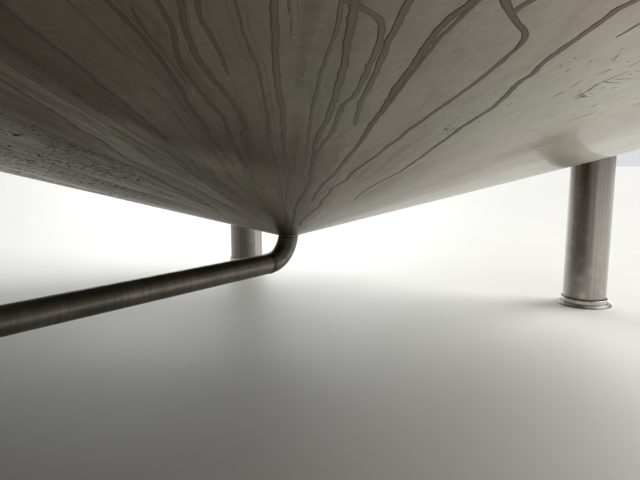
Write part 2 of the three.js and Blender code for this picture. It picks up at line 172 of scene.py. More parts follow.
def new_finish(name, **fixed):
    """A material with its shader's own sockets set. Returns it with its tree, shader and position socket."""
    made = bpy.data.materials.new(name)
    made.use_nodes = True
    tree = made.node_tree
    shader = tree.nodes["Principled BSDF"]
    for key, value in fixed.items():
        shader.inputs[key.replace("_", " ")].default_value = value
    place = tree.nodes.new("ShaderNodeTexCoord").outputs["Object"]
    return made, tree, shader, place


def clouds(tree, place, scale, detail=4.0, low=0.35, high=0.65, stretch=(1, 1, 1)):
    """A soft 0 to 1 pattern: noise over the position, stretched, and cut at two levels."""
    moved = node(tree, "ShaderNodeMapping", {"Vector": place, "Scale": stretch})
    pattern = node(tree, "ShaderNodeTexNoise", {"Vector": moved.outputs[0], "Scale": scale, "Detail": detail})
    levels = {"Value": pattern.outputs[0], "From Min": low, "From Max": high}
    return node(tree, "ShaderNodeMapRange", levels).outputs[0]


def blend(tree, share, first, second, kind="MIX"):
    """Mixes two colours, each a socket or a value, by a share."""
    mixed = node(tree, "ShaderNodeMix", {}, data_type="RGBA", blend_type=kind)
    for socket, value in zip((mixed.inputs[0], mixed.inputs[6], mixed.inputs[7]), (share, first, second)):
        if isinstance(value, bpy.types.NodeSocket):
            tree.links.new(value, socket)
        else:
            socket.default_value = value
    return mixed.outputs[2]


def tinted(tree, share, colour, tint):
    """A colour multiplied by a tint, by a share."""
    return blend(tree, share, colour, blend(tree, 1.0, colour, tint, "MULTIPLY"))


def spread(tree, share, low, high):
    """Carries a 0 to 1 pattern over to a range of values."""
    return node(tree, "ShaderNodeMapRange", {"Value": share, "To Min": low, "To Max": high}).outputs[0]


def relief(tree, shader, pattern, depth):
    """Gives the shader a fine relief from a pattern, its depth in metres."""
    bump = node(tree, "ShaderNodeBump", {"Height": pattern, "Distance": depth, "Strength": 1.0})
    tree.links.new(bump.outputs[0], shader.inputs["Normal"])


# Painted shade: the sheet's colour is darker where it faces this way, the side away from the lamps, partly
# tarnish and partly painted shade. The ramp's stops run from clean sheet to a dark brown of tarnish and
# painted shade, then lighter again in a band of painted highlight.
TARNISH_AND_SHADE_TOWARDS = Vector((math.cos(math.radians(275)), math.sin(math.radians(275)), 0))
TARNISH_SHADE_AND_SHEEN = (
    (0.50, (0.615, 0.62, 0.60, 1)), (0.72, (0.53, 0.527, 0.492, 1)), (0.84, (0.43, 0.40, 0.35, 1)),
    (0.93, (0.235, 0.195, 0.155, 1)), (0.96, (0.52, 0.49, 0.43, 1)), (0.985, (0.40, 0.375, 0.335, 1)),
)


def ramp(tree, share, stops):
    """Colours along a 0 to 1 pattern, given as (place, colour) stops."""
    made = node(tree, "ShaderNodeValToRGB", {"Fac": share}).color_ramp
    while len(made.elements) < len(stops):
        made.elements.new(0.5)
    for stop, (at, colour) in zip(made.elements, stops):
        stop.position, stop.color = at, colour
    return tree.nodes[-1].outputs["Color"]


def combine(tree, kind, first, second):
    """One of the Math node's sums on two numbers."""
    return node(tree, "ShaderNodeMath", {0: first, 1: second}, operation=kind).outputs[0]


def round_axis(tree, place):
    """The position as a fan about the tank's axis, and its distance and direction from the axis."""
    flat = node(tree, "ShaderNodeVectorMath", {0: place, 1: (1, 1, 0)}, operation="MULTIPLY").outputs[0]
    away = node(tree, "ShaderNodeVectorMath", {0: flat}, operation="LENGTH").outputs["Value"]
    outward = node(tree, "ShaderNodeVectorMath", {0: flat}, operation="NORMALIZE").outputs[0]
    axis = node(tree, "ShaderNodeCombineXYZ", {"Z": away}).outputs[0]
    fan = node(tree, "ShaderNodeVectorMath", {0: outward, 1: axis}, operation="ADD").outputs[0]
    return fan, away, outward


def soft_step(tree, value, first, last):
    """Goes softly from 0 to 1 as a value goes from the first number to the last."""
    turned_round = first > last
    low, high = min(first, last), max(first, last)
    limits = {"Value": value, "From Min": low, "From Max": high, "To Min": float(turned_round),
              "To Max": float(not turned_round)}
    return node(tree, "ShaderNodeMapRange", limits, interpolation_type="SMOOTHSTEP").outputs[0]


def tarnished(tree, place):
    """The sheet's colour and how tarnished and shaded it is: browner and darker on one side of the tank, the
    side away from the lamps, partly tarnish and partly painted shade with a band of painted highlight in
    it, and browner and darker near the outlet, painted shade.
    """
    fan, away, outward = round_axis(tree, place)
    side = node(tree, "ShaderNodeVectorMath", {0: outward, 1: TARNISH_AND_SHADE_TOWARDS}, operation="DOT_PRODUCT")
    wander = spread(tree, clouds(tree, fan, 9.0, 5.0, 0.3, 0.7, (1, 1, 0.15)), -0.035, 0.035)
    towards = side.outputs["Value"]
    nearer, facing = soft_step(tree, away, 1.35, 0.85), soft_step(tree, towards, 0.95, 0.90)
    reached = combine(tree, "MULTIPLY", combine(tree, "MULTIPLY", nearer, facing), 0.13)
    tarnish_and_shade = combine(tree, "ADD", combine(tree, "ADD", towards, wander), reached)
    colour = ramp(tree, tarnish_and_shade, TARNISH_SHADE_AND_SHEEN)
    # Painted shade: browner and darker near the middle on the dark side, partly tarnish and partly painted
    # shade.
    browned_and_shaded = combine(tree, "MULTIPLY", soft_step(tree, away, 0.95, 0.45), soft_step(tree, towards, 0.6, 0.9))
    colour = tinted(tree, browned_and_shaded, colour, (0.60, 0.53, 0.46, 1))
    # Painted shade: the sheet is painted darker towards the axis.
    painted_apex_shade = blend(tree, soft_step(tree, away, 0.0, 0.55), (0.45, 0.40, 0.35, 1), (1, 1, 1, 1))
    return blend(tree, 1.0, colour, painted_apex_shade, "MULTIPLY"), tarnish_and_shade


def spread_by(tree, share, strength, least):
    """A pattern weakened to its least share where the strength is 0."""
    return combine(tree, "MULTIPLY", share, spread(tree, strength, least, 1.0))


def wavering(tree, fan, place):
    """Moves a fan's lines a little to either side, as water wanders on its way down."""
    drift = node(tree, "ShaderNodeTexNoise", {"Vector": place, "Scale": 5.0, "Detail": 3.0}).outputs["Color"]
    half = (0.5, 0.5, 0.5)
    drift = node(tree, "ShaderNodeVectorMath", {0: drift, 1: half}, operation="SUBTRACT").outputs[0]
    drift = node(tree, "ShaderNodeVectorMath", {0: drift, "Scale": 0.06}, operation="SCALE").outputs[0]
    return node(tree, "ShaderNodeVectorMath", {0: fan, 1: drift}, operation="ADD").outputs[0]


def cone_finish():
    made, tree, shader, place = new_finish("cone_mill_finish", Coat_Roughness=0.035,
                                           Specular_Tint=(0.84, 0.79, 0.74, 1))
    fan, away, outward = round_axis(tree, place)
    fan = wavering(tree, fan, place)
    # The colour carries the painted shade of the dark side and of the middle.
    colour, tarnish_and_shade = tarnished(tree, place)
    hue = clouds(tree, fan, 7.0, 3.0, 0.40, 0.60, (1, 1, 0.25))
    broad = clouds(tree, fan, 11.0, 5.0, 0.42, 0.66, (1, 1, 0.12))
    fine = clouds(tree, fan, 60.0, 6.0, 0.48, 0.72, (1, 1, 0.05))
    hair = clouds(tree, fan, 210.0, 3.0, 0.40, 0.70, (1, 1, 0.03))
    patches = clouds(tree, place, 2.6, 3.0, 0.35, 0.68)
    mottle = clouds(tree, place, 26.0, 5.0, 0.40, 0.66)
    spots = clouds(tree, place, 115.0, 4.0, 0.552, 0.575)
    grouped = clouds(tree, fan, 17.0, 3.0, 0.42, 0.50, (1, 1, 0.35))
    grit = clouds(tree, place, 110.0, 6.0, 0.35, 0.65)
    dirty = node(tree, "ShaderNodeMapRange", {"Value": tarnish_and_shade, "From Min": 0.66, "From Max": 0.97}).outputs[0]
    towards = node(tree, "ShaderNodeVectorMath", {0: outward, 1: TARNISH_AND_SHADE_TOWARDS}, operation="DOT_PRODUCT")
    dirtiest = soft_step(tree, towards.outputs["Value"], 0.945, 0.965)
    hues = blend(tree, hue, (0.93, 0.99, 0.89, 1), (1.03, 0.96, 0.935, 1))
    base = blend(tree, 1.0, colour, hues, "MULTIPLY")
    base = tinted(tree, patches, base, (0.95, 0.93, 0.93, 1))
    base = tinted(tree, mottle, base, (0.93, 0.92, 0.91, 1))
    base = tinted(tree, spread_by(tree, broad, dirty, 0.30), base, (0.70, 0.66, 0.61, 1))
    base = tinted(tree, spread_by(tree, fine, dirty, 0.12), base, (0.45, 0.40, 0.36, 1))
    base = tinted(tree, spread_by(tree, grit, dirty, 0.25), base, (0.80, 0.78, 0.76, 1))
    base = blend(tree, spread(tree, hair, 0.0, 0.09), base, (0.2, 0.19, 0.17, 1))
    marks = combine(tree, "MULTIPLY", combine(tree, "MULTIPLY", spots, grouped), dirtiest)
    marks = combine(tree, "MULTIPLY", marks, soft_step(tree, away, 0.50, 0.70))
    base = blend(tree, marks, base, (0.02, 0.017, 0.014, 1))
    tree.links.new(base, shader.inputs["Base Color"])
    rough = combine(tree, "ADD", spread(tree, broad, 0.32, 0.40), spread(tree, marks, 0.0, 0.45))
    tree.links.new(rough, shader.inputs["Roughness"])
    gloss = node(tree, "ShaderNodeMapRange", {"Value": tarnish_and_shade, "From Min": 0.66, "From Max": 0.95,
                                              "To Min": 0.38, "To Max": 0.08}).outputs[0]
    coat = combine(tree, "MULTIPLY", gloss, spread(tree, marks, 1.0, 0.0))
    tree.links.new(coat, shader.inputs["Coat Weight"])
    tree.links.new(spread(tree, marks, 0.82, 0.1), shader.inputs["Metallic"])
    relief(tree, shader, clouds(tree, place, 260.0, 2.0), 0.00003)
    return made


cone = build_cone()
dress(cone, cone_finish(), "bottom_cone")

# Water runs: films of brown residue left where water trickled down the outside of the tank, round its
# rim and along the underside to the outlet. Each is a thin line that wanders a little on its way to
# the middle, with a darker border where it dried.
CAMERA_PLACE = Vector((1.3264, -1.5147, 0.7837))
CAMERA_HEADING = Vector((-0.6139, 0.7894, 0))
CAMERA_PITCH, CAMERA_ROLL = math.radians(8.186), math.radians(-0.139)
CAMERA_LENS, SENSOR_WIDTH = 30.549, 36.0
PHOTO_WIDTH, PHOTO_MIDDLE = 640, (320, 240)
FILM = 0.00015
RUN_STEP = 0.0055
THIN_STEP = 0.008
BACK_STEP = 0.014
# The azimuth where the darker side of the cone, tarnish and painted shade, ends.
TARNISH_AND_SHADE_EDGE = 311.2


def camera_axes():
    """Directions to the right, up and forward of the camera, which was fitted to the photograph."""
    level_right = Vector((CAMERA_HEADING.y, -CAMERA_HEADING.x, 0))
    forward = CAMERA_HEADING * math.cos(CAMERA_PITCH) - Vector((0, 0, math.sin(CAMERA_PITCH)))
    level_up = CAMERA_HEADING * math.sin(CAMERA_PITCH) + Vector((0, 0, math.cos(CAMERA_PITCH)))
    right = level_right * math.cos(CAMERA_ROLL) + level_up * math.sin(CAMERA_ROLL)
    up = level_up * math.cos(CAMERA_ROLL) - level_right * math.sin(CAMERA_ROLL)
    return right, up, forward


def seen_on_cone(x, y):
    """How far from the axis, and at which azimuth, the cone shows at a pixel of the photograph."""
    right, up, forward = camera_axes()
    focal = CAMERA_LENS / SENSOR_WIDTH * PHOTO_WIDTH
    ray = forward + right * ((x - PHOTO_MIDDLE[0]) / focal) + up * ((PHOTO_MIDDLE[1] - y) / focal)
    slope, above = math.tan(CONE_SLOPE), CAMERA_PLACE.z - APEX_HEIGHT
    square = ray.z**2 - slope**2 * ray.xy.length_squared
    half = ray.z * above - slope**2 * ray.xy.dot(CAMERA_PLACE.xy)
    rest = above**2 - slope**2 * CAMERA_PLACE.xy.length_squared
    root = math.sqrt(half**2 - square * rest)
    reaches = [(-half + root) / square, (-half - root) / square]
    reach = min(t for t in reaches if t > 0 and CAMERA_PLACE.z + t * ray.z > APEX_HEIGHT - 0.002)
    place = CAMERA_PLACE + ray * reach
    return place.xy.length, math.degrees(math.atan2(place.y, place.x)) % 360


def run(wide, narrow, depth, outer=(), seen=(), inner=(), azimuth=None):
    """One run: its width in millimetres at the rim end and the inner end, how dark it is, and its points as
    (centimetres from the axis, millimetres to the side of its azimuth). The outer and inner points are
    given. Those seen are pixels read from the photograph, here carried onto the cone. The
    azimuth is their mean, weighted by distance, to the nearest half degree, unless it is given."""
    places = [seen_on_cone(x, y) for x, y in seen]
    if azimuth is None:
        weights = sum(distance for distance, direction in places)
        azimuth = round(2 * sum(distance * direction for distance, direction in places) / weights) / 2
    route = []
    for distance, direction in places:
        route.append((round(100 * distance), round(1000 * distance * math.radians(direction - azimuth))))
    return azimuth, wide, narrow, depth, [*outer, *route, *inner]


RUNS = [
    run(8, 10, 0.85, outer=[(198, 0)], seen=[(274, 0), (277, 80), (283.6, 112), (285, 150), (286, 158),
        (289, 164), (290, 170), (289, 182), (288, 192), (286, 200), (285, 209)], inner=[(30, -5)]),
    run(7, 8, 0.85, seen=[(268, 120), (270, 140), (274, 150), (277, 158), (281, 183), (284, 205)],
        inner=[(40, 6)]),
    run(8, 5, 1.0, outer=[(198, 4)], seen=[(197, 0), (200, 16), (210, 34), (220, 52)], inner=[(136, -3)],
        azimuth=308.5),
    run(5, 10, 1.0, outer=[(190, 0)], seen=[(182, 4), (183, 22), (190, 44), (200, 64), (214, 80),
        (230, 98), (240, 114), (245, 128), (242, 136), (250, 148)]),
    run(4, 9, 1.0, outer=[(175, 6)], seen=[(174, 30), (176, 52), (186, 74), (200, 92), (212, 106),
        (224, 116), (228, 128), (232, 140), (240, 156)], inner=[(96, 0)]),
    run(5, 8, 1.0, outer=[(198, -2)], seen=[(106, 0), (138, 32), (154, 52), (180, 86), (190, 106),
        (204, 124), (212, 140), (222, 152)], inner=[(98, -6)]),
    run(3, 2, 1.0, outer=[(198, 8)], seen=[(66, 0), (86, 16), (108, 38), (124, 54)], inner=[(139, 14)]),
    run(5, 8, 1.0, outer=[(198, 5)], seen=[(4, 8), (26, 26), (86, 72), (100, 86), (136, 114), (152, 128)],
        inner=[(112, -5)]),
    run(6, 5, 1.0, outer=[(198, 14)], seen=[(0, 80), (20, 92), (40, 104), (62, 118), (80, 130),
        (100, 140), (124, 158), (148, 168), (170, 176), (190, 186), (212, 198)], inner=[(52, 5)]),
    run(4, 5, 1.0, outer=[(185, 0)], seen=[(0, 114), (24, 122), (50, 134), (80, 148), (112, 160),
        (140, 170), (160, 180), (180, 192), (200, 200), (220, 212)]),
    run(5, 4, 1.0, outer=[(190, -30)], seen=[(0, 160), (30, 168), (60, 174), (84, 182), (104, 186),
        (130, 190), (160, 198), (200, 210)]),
    run(4, 3, 1.0, seen=[(128, 4), (148, 36), (160, 48)], inner=[(134, 2)]),
    run(2.6, 3.5, 1.0, seen=[(150, 86), (172, 106), (180, 120), (192, 136), (208, 148)], inner=[(96, 5)]),
    run(3, 4, 1.0, outer=[(140, -9)], seen=[(112, 128), (140, 144), (164, 156), (180, 166), (200, 180)],
        inner=[(66, 2)]),
    run(3, 3, 1.0, outer=[(165, 4)], seen=[(236, 6), (246, 40), (258, 68), (264, 96), (269, 120)],
        inner=[(101, 6)]),
    run(12, 9, 0.5, outer=[(162, 2), (156, -2), (151, -4), (147, -1), (144.5, -3)], azimuth=311.6),
    run(5, 4, 0.5, outer=[(156, -14), (151, -16), (148, -13)], azimuth=311.9),
    run(7, 7, 0.5, outer=[(136.5, 14), (135.6, 15)], azimuth=311.5),
    run(11, 7, 0.85, outer=[(198, -16)], seen=[(356, 0), (352, 20), (348, 40), (345, 60), (342, 76),
        (328, 120), (320, 134), (315, 146), (314, 158), (312, 168), (310, 175), (311, 180), (308, 186),
        (305, 193), (301, 200), (295, 210), (294, 218), (293, 224)], inner=[(18, 4), (6, 2)]),
    run(8, 8, 0.85, outer=[(151, -40), (150.5, -26), (149.7, -15), (149.1, -6), (148.4, 2), (147.3, 8),
        (145, 12)], seen=[(376, 52), (360, 86), (354, 98), (342, 106), (338, 116), (334, 130), (324, 144),
        (318, 152)], inner=[(98, -10)]),
    run(5, 5.5, 0.85, outer=[(198, 6)], seen=[(342, 0), (338, 24), (330, 50), (322, 70), (312, 110)],
        inner=[(104, 0)]),
    run(11, 7, 0.85, outer=[(198, 2)], seen=[(410, 0), (400, 18), (384, 52), (378, 68), (360, 104),
        (356, 120)], inner=[(119.5, 11)]),
    run(11, 8, 1.0, outer=[(198, 36)], seen=[(470, 4), (450, 18), (432, 36), (420, 54), (390, 98),
        (382, 112), (370, 126), (362, 140), (348, 158), (340, 167), (333, 176), (324, 184), (317, 192)],
        inner=[(65, -5)]),
    run(8, 4, 1.0, outer=[(198, 40)], seen=[(480, 0), (460, 18), (440, 38)], inner=[(133, -3),
        (124, -1)]),
    run(12, 6, 1.0, outer=[(163, -95), (156, -60)], seen=[(504, 0), (512, 12), (520, 24), (524, 34),
        (520, 44)], inner=[(143, 30)]),
    run(6.5, 8, 1.0, outer=[(149, -8), (147.5, 14), (146, 25), (144, 30)], seen=[(506, 58), (476, 82),
        (460, 94), (440, 108), (424, 120), (408, 130), (400, 138), (386, 148), (374, 158), (359, 168),
        (351, 174), (348, 179), (340, 184), (332, 188), (329, 194), (322, 200), (320, 206), (310, 214),
        (302, 221)], inner=[(27, -4)]),
    run(9, 7, 1.0, outer=[(170, 45)], seen=[(532, 0)], inner=[(150.5, -6), (149.3, 4)]),
    run(11, 5, 1.0, outer=[(198, -30)], seen=[(638, 0), (616, 10), (600, 22), (560, 50), (544, 62),
        (536, 72), (522, 80), (512, 88), (504, 98), (492, 108), (460, 128), (448, 138), (436, 146),
        (420, 158), (400, 172), (380, 182), (366, 190)], inner=[(66, 22)]),
    run(5, 4, 1.0, outer=[(155, 5)], seen=[(640, 24)], inner=[(147, 1)]),
    run(3, 3, 1.0, outer=[(175, 0), (132, 12), (110, -8), (88, 4), (58, 0)], azimuth=290.0),
    run(4, 3, 1.0, outer=[(190, 10), (120, -10), (96, 6), (70, 0)], azimuth=286.5),
    run(3, 4, 1.0, outer=[(180, -10), (112, 8), (90, -8), (60, 10)], azimuth=282.0),
    run(2.5, 3, 1.0, outer=[(150, 8), (126, -4), (104, 5), (82, -2), (60, 4)], azimuth=299.5),
]


def on_cone(distance, side, azimuth, drop):
    """A point under the cone: distance from the axis, metres to the side of an azimuth, and a drop."""
    angle = math.radians(azimuth)
    x = distance * math.cos(angle) - side * math.sin(angle)
    y = distance * math.sin(angle) + side * math.cos(angle)
    return Vector((x, y, cone_height(math.hypot(x, y)) + cone_wave(x, y) - drop))


def run_line(route, step):
    """Even points along a route, as (distance, side) in metres, with the corners rounded off."""
    points = [(near * 0.01, side * 0.001) for near, side in route]
    line = []
    for (d0, s0), (d1, s1) in zip(points, points[1:]):
        count = max(1, round(math.hypot(d1 - d0, s1 - s0) / step))
        line += [(d0 + (d1 - d0) * i / count, s0 + (s1 - s0) * i / count) for i in range(count)]
    line.append(points[-1])
    for _ in range(3):
        threes = zip(line, line[1:], line[2:])
        inner = [tuple((a + 2 * b + c) / 4 for a, b, c in zip(*three)) for three in threes]
        line = [line[0]] + inner + [line[-1]]
    return line


STRIP = ((-1, 0.3, 1), (-0.74, 1, 1), (-0.5, 1, 0), (0.5, 1, 0), (0.74, 1, 1), (1, 0.3, 1))


def add_run(vertices, faces, edges, azimuth, wide, narrow, route, seed,
            film=FILM, step=RUN_STEP, depth=1.0):
    """One water run: a strip a hair thick with an uneven outline. Each point keeps how near it is to the
    border, and how dark the run is."""
    line = run_line(route, step)
    last = len(line) - 1
    back = [(1, 0.00004 / film, 1), (-1, 0.00004 / film, 1)]
    size = len(STRIP) + len(back)
    for i, (distance, side) in enumerate(line):
        before, after = line[max(0, i - 1)], line[min(last, i + 1)]
        along = Vector((after[0] - before[0], after[1] - before[1])).normalized()
        wander = 0.0010 * noise.noise(Vector((distance * 45, seed, 0.3)))
        taper = min(1.0, (min(i, last - i) + 0.6) * step / min(0.016, last * step * 0.4))
        half = 0.0005 * (wide + (narrow - wide) * i / last) * math.sqrt(taper)
        for across, thick, edge in list(STRIP) + back:
            own = seed + 0.37 * math.copysign(1, across)
            uneven = 1 + 0.30 * noise.noise(Vector((distance * 38, own, 2))) \
                + 0.34 * noise.noise(Vector((distance * 105, own, 5)))
            shift = across * half * uneven
            moved = side + along.x * shift + wander
            vertices.append(on_cone(distance - along.y * shift, moved, azimuth, film * thick))
            edges.append((edge, depth))
    faces += skin(len(line), size, first=len(vertices) - size * len(line))


def set_values(thing, name, values):
    """Keeps one number for each point of a mesh."""
    kept = thing.data.attributes.new(name, "FLOAT", "POINT")
    kept.data.foreach_set("value", values)


def paint(tree, shader, colour, rough):
    """Links the shader's base colour and its roughness."""
    tree.links.new(colour, shader.inputs["Base Color"])
    tree.links.new(rough, shader.inputs["Roughness"])


def run_finish():
    made, tree, shader, place = new_finish("dried_water_residue", Metallic=0.75, Coat_Weight=0.12,
                                           Coat_Roughness=0.12)
    border = node(tree, "ShaderNodeAttribute", {}, attribute_name="border").outputs["Fac"]
    # The colour carries the cone's painted shade of the dark side and of the middle.
    colour, tarnish_and_shade = tarnished(tree, place)
    mottle = clouds(tree, place, 34.0, 4.0, 0.3, 0.7)
    film = ramp(tree, tarnish_and_shade, ((0.6, (0.30, 0.25, 0.21, 1)), (0.85, (0.43, 0.37, 0.315, 1))))
    near = soft_step(tree, round_axis(tree, place)[1], 0.75, 0.35)
    film = tinted(tree, near, film, (0.55, 0.48, 0.42, 1))
    depth = node(tree, "ShaderNodeAttribute", {}, attribute_name="depth").outputs["Fac"]
    film = blend(tree, depth, (0.95, 0.94, 0.92, 1), film)
    base = blend(tree, 1.0, colour, film, "MULTIPLY")
    base = tinted(tree, spread(tree, mottle, 0, 0.3), base, (1.35, 1.35, 1.3, 1))
    darker = ramp(tree, tarnish_and_shade, ((0.6, (0.36, 0.32, 0.29, 1)), (0.85, (0.62, 0.58, 0.54, 1))))
    edge = blend(tree, 1.0, base, darker, "MULTIPLY")
    paint(tree, shader, blend(tree, border, base, edge), spread(tree, mottle, 0.42, 0.56))
    return made


def raw_object(name, vertices, faces):
    """An object with a mesh kept just as given, smooth."""
    mesh = bpy.data.meshes.new(name)
    mesh.from_pydata(vertices, [], faces)
    mesh.shade_smooth()
    made = bpy.data.objects.new(name, mesh)
    bpy.context.scene.collection.objects.link(made)
    return made


def run_object(name, vertices, faces, edges):
    """An object of water runs, with each point's border and depth."""
    made = raw_object(name, vertices, faces)
    set_values(made, "border", [border for border, depth in edges])
    set_values(made, "depth", [depth for border, depth in edges])
    return made


def front_runs():
    """The runs on the camera's side, tide lines beside those on the darker side, which is tarnish and painted
    shade, and thin ones between.
    """
    vertices, faces, edges = [], [], []
    draw = random.Random(11)
    for seed, (azimuth, wide, narrow, depth, route) in enumerate(RUNS):
        add_run(vertices, faces, edges, azimuth, wide, narrow, route, seed, depth=depth)
        for side in (-1, 1):
            if azimuth > TARNISH_AND_SHADE_EDGE or draw.random() < 0.45:
                continue
            start = draw.randrange(len(route) // 2)
            offset = side * (0.5 * wide + draw.uniform(2.5, 7))
            beside = [(near, shift + offset + draw.uniform(-1, 1)) for near, shift in route[start:]]
            add_run(vertices, faces, edges, azimuth, draw.uniform(1.0, 2.2), 1.0, beside, seed + 40 + side,
                    step=THIN_STEP, depth=0.75)
    for seed in range(60, 86):
        azimuth = draw.uniform(279, 307)
        outer = draw.uniform(120, 195)
        inner = draw.uniform(40, 0.8 * outer)
        route = [(outer + (inner - outer) * i / 9, draw.uniform(-7, 7)) for i in range(10)]
        wide = draw.uniform(1.2, 3.5)
        add_run(vertices, faces, edges, azimuth, wide, wide, route, seed, step=THIN_STEP,
                depth=draw.uniform(0.2, 0.8))
    return run_object("water_runs_front", vertices, faces, edges)


def back_runs():
    """The runs on the far side of the tank."""
    vertices, faces, edges = [], [], []
    draw = random.Random(12)
    for seed in range(100, 180):
        azimuth = draw.uniform(14, 248)
        outer, inner = draw.uniform(90, 197), draw.uniform(12, 120)
        if outer - inner < 25:
            continue
        route = [(outer + (inner - outer) * i / 7, draw.uniform(-12, 12)) for i in range(8)]
        wide = draw.uniform(2.5, 9)
        add_run(vertices, faces, edges, azimuth, wide, 0.7 * wide, route, seed, step=BACK_STEP)
    return run_object("water_runs_back", vertices, faces, edges)


residue = run_finish()
for runs in (front_runs(), back_runs()):
    dress(runs, residue)

# Scuffs: short dark rubs and scrapes on the mill finish of the cone's underside, from slings, ladders
# and hose ends. Each group has an azimuth, centimetres from the axis, its depth and width in centimetres,
# how many scrapes it has, their length in millimetres and how they lie, in degrees from the radial line.


def place_seen(x, y):
    """The azimuth and the centimetres from the axis of a place read from the photograph, in pixels."""
    distance, azimuth = seen_on_cone(x, y)
    return round(azimuth, 1), round(100 * distance)


LOWER_BOX, UPPER_BOX = place_seen(585, 95), place_seen(607, 82)
CROSSED_MARK, SMALL_MARK = place_seen(450, 127), place_seen(460, 47)
SCUFFS = [
    (*LOWER_BOX, 1.2, 1.2, 4, 12, 5), (*LOWER_BOX, 1.0, 1.2, 4, 11, 84), (*UPPER_BOX, 4.0, 3.0, 6, 17, 0),
    (*UPPER_BOX, 0.8, 1.0, 4, 10, 86), (329.4, 141, 3.4, 3.5, 7, 18, 4), (329.4, 140, 1.2, 1.4, 3, 8, 80),
    (*CROSSED_MARK, 2.8, 2.0, 13, 8, 20), (*CROSSED_MARK, 2.8, 2.0, 9, 6, -40),
    (*SMALL_MARK, 0.8, 0.8, 3, 6, -30),
    (324.5, 126, 8, 6, 7, 6, 10), (331.0, 122, 9, 7, 11, 9, 0), (334.0, 130, 8, 6, 9, 12, 0),
    (336.0, 112, 9, 8, 10, 8, 5), (327.0, 112, 9, 6, 8, 6, 5), (341.0, 104, 8, 8, 7, 6, 0),
    (326.0, 142, 6, 5, 8, 8, 20), (320.5, 128, 9, 5, 6, 6, 10), (321.0, 106, 8, 5, 5, 5, 0),
    (316.0, 128, 12, 6, 8, 5, 30), (306.0, 128, 12, 8, 10, 4, 30), (294.0, 112, 12, 8, 26, 6, 0),
    (290.0, 104, 12, 8, 40, 7, 0), (286.0, 92, 12, 8, 40, 7, 0), (282.0, 84, 10, 8, 30, 6, 0),
    (298.0, 120, 10, 5, 12, 5, 20), (338.0, 90, 12, 8, 12, 5, 0),
]


def build_scuffs():
    vertices, faces, edges = [], [], []
    draw = random.Random(23)
    groups = list(SCUFFS)
    for _ in range(55):
        groups.append((draw.uniform(12, 250), draw.uniform(70, 185), draw.uniform(3, 14),
                       draw.uniform(3, 9), 12, draw.uniform(5, 10), draw.uniform(-20, 90)))
    seed = 500
    for azimuth, distance, deep, wide, count, length, lie in groups:
        for _ in range(count):
            seed += 1
            turn = azimuth + math.degrees(draw.gauss(0, wide * 0.5) / distance)
            near = distance + draw.gauss(0, deep * 0.5)
            reach = length * (0.35 + draw.expovariate(1.5))
            slant = math.radians(lie + draw.gauss(0, 9))
            inward, sideways = 0.1 * reach * math.cos(slant), reach * math.sin(slant)
            bend = (near - inward * 0.5, sideways * 0.5 + draw.gauss(0, 0.3))
            route = [(near, 0.0), bend, (near - inward, sideways)]
            if near < 190:
                size = draw.uniform(0.8, 1.7) * (0.75 + 0.06 * length)
                add_run(vertices, faces, edges, turn, size, size * 0.6, route, seed, FILM * 0.8, 0.002)
    return run_object("scuffs", vertices, faces, edges)


def scuff_finish():
    made, tree, shader, place = new_finish("rubbed_marks", Metallic=0.5)
    broken = clouds(tree, place, 180.0, 3.0, 0.35, 0.6)
    base = blend(tree, broken, (0.24, 0.22, 0.19, 1), (0.085, 0.075, 0.063, 1))
    paint(tree, shader, base, spread(tree, broken, 0.45, 0.65))
    return made


scuffs = build_scuffs()
dress(scuffs, scuff_finish())

# Shell: four courses of two rolled 4 mm plates each, butt welded along staggered upright seams and round
# between the courses. The sheet draws in slightly at each weld. The first front plate has the doorway.
COURSE_HEIGHT = 1.5
COURSE_SEAMS = [0, 70, 20, 90]
SHELL_TOP = SHELL_BOTTOM + 4 * COURSE_HEIGHT
DOOR_HEIGHT = 1.64
DOORWAY = (0.2323, 0.2873)


def shaded(colour, share):
    """A colour made darker, to a share of itself."""
    return [share * c for c in colour[:3]] + [1]


def sheet_finish(name, light, dark, stretch, rough=(0.30, 0.42)):
    """Mill finished sheet with soft streaks of rain dirt that follow the given stretch."""
    made, tree, shader, place = new_finish(name, Metallic=0.9, Coat_Weight=0.15, Coat_Roughness=0.15)
    streaks = clouds(tree, place, 9.0, 6.0, 0.42, 0.72, stretch)
    patches = clouds(tree, place, 1.3, 3.0, 0.3, 0.7)
    base = blend(tree, patches, light, shaded(light, 0.93))
    paint(tree, shader, blend(tree, spread(tree, streaks, 0, 0.6), base, dark), spread(tree, streaks, *rough))
    relief(tree, shader, clouds(tree, place, 180.0, 2.0, stretch=stretch), 0.00005)
    return made


def plate_profile(low, high):
    """A course plate's section: the face draws in by a millimetre and a half near the welds."""
    rows = 16
    heights = [low + (high - low) * i / rows for i in range(rows + 1)]
    heights[1:1] = [low + 0.02, low + 0.045]
    heights[-1:-1] = [high - 0.045, high - 0.02]
    outer = []
    for z in sorted(heights):
        from_weld = min(z - low, high - z)
        outer.append((SHELL_RADIUS - 0.0015 * math.exp(-((from_weld / 0.035) ** 2)), z))
    return outer + [(SHELL_RADIUS - SHEET - 0.0015, high), (SHELL_RADIUS - SHEET - 0.0015, low)]


def front_bar(half_width, half_height, near, far, steps=72):
    """An oval bar to the front, at the door's height, between two distances from the axis."""
    vertices = []
    for y in (-near, -far):
        for i in range(steps):
            a = 2 * math.pi * i / steps
            vertices.append(Vector((half_width * math.cos(a), y, DOOR_HEIGHT + half_height * math.sin(a))))
    faces = [tuple(range(steps)), tuple(range(steps, 2 * steps))]
    faces += [(i, (i + 1) % steps, steps + (i + 1) % steps, steps + i) for i in range(steps)]
    return vertices, faces


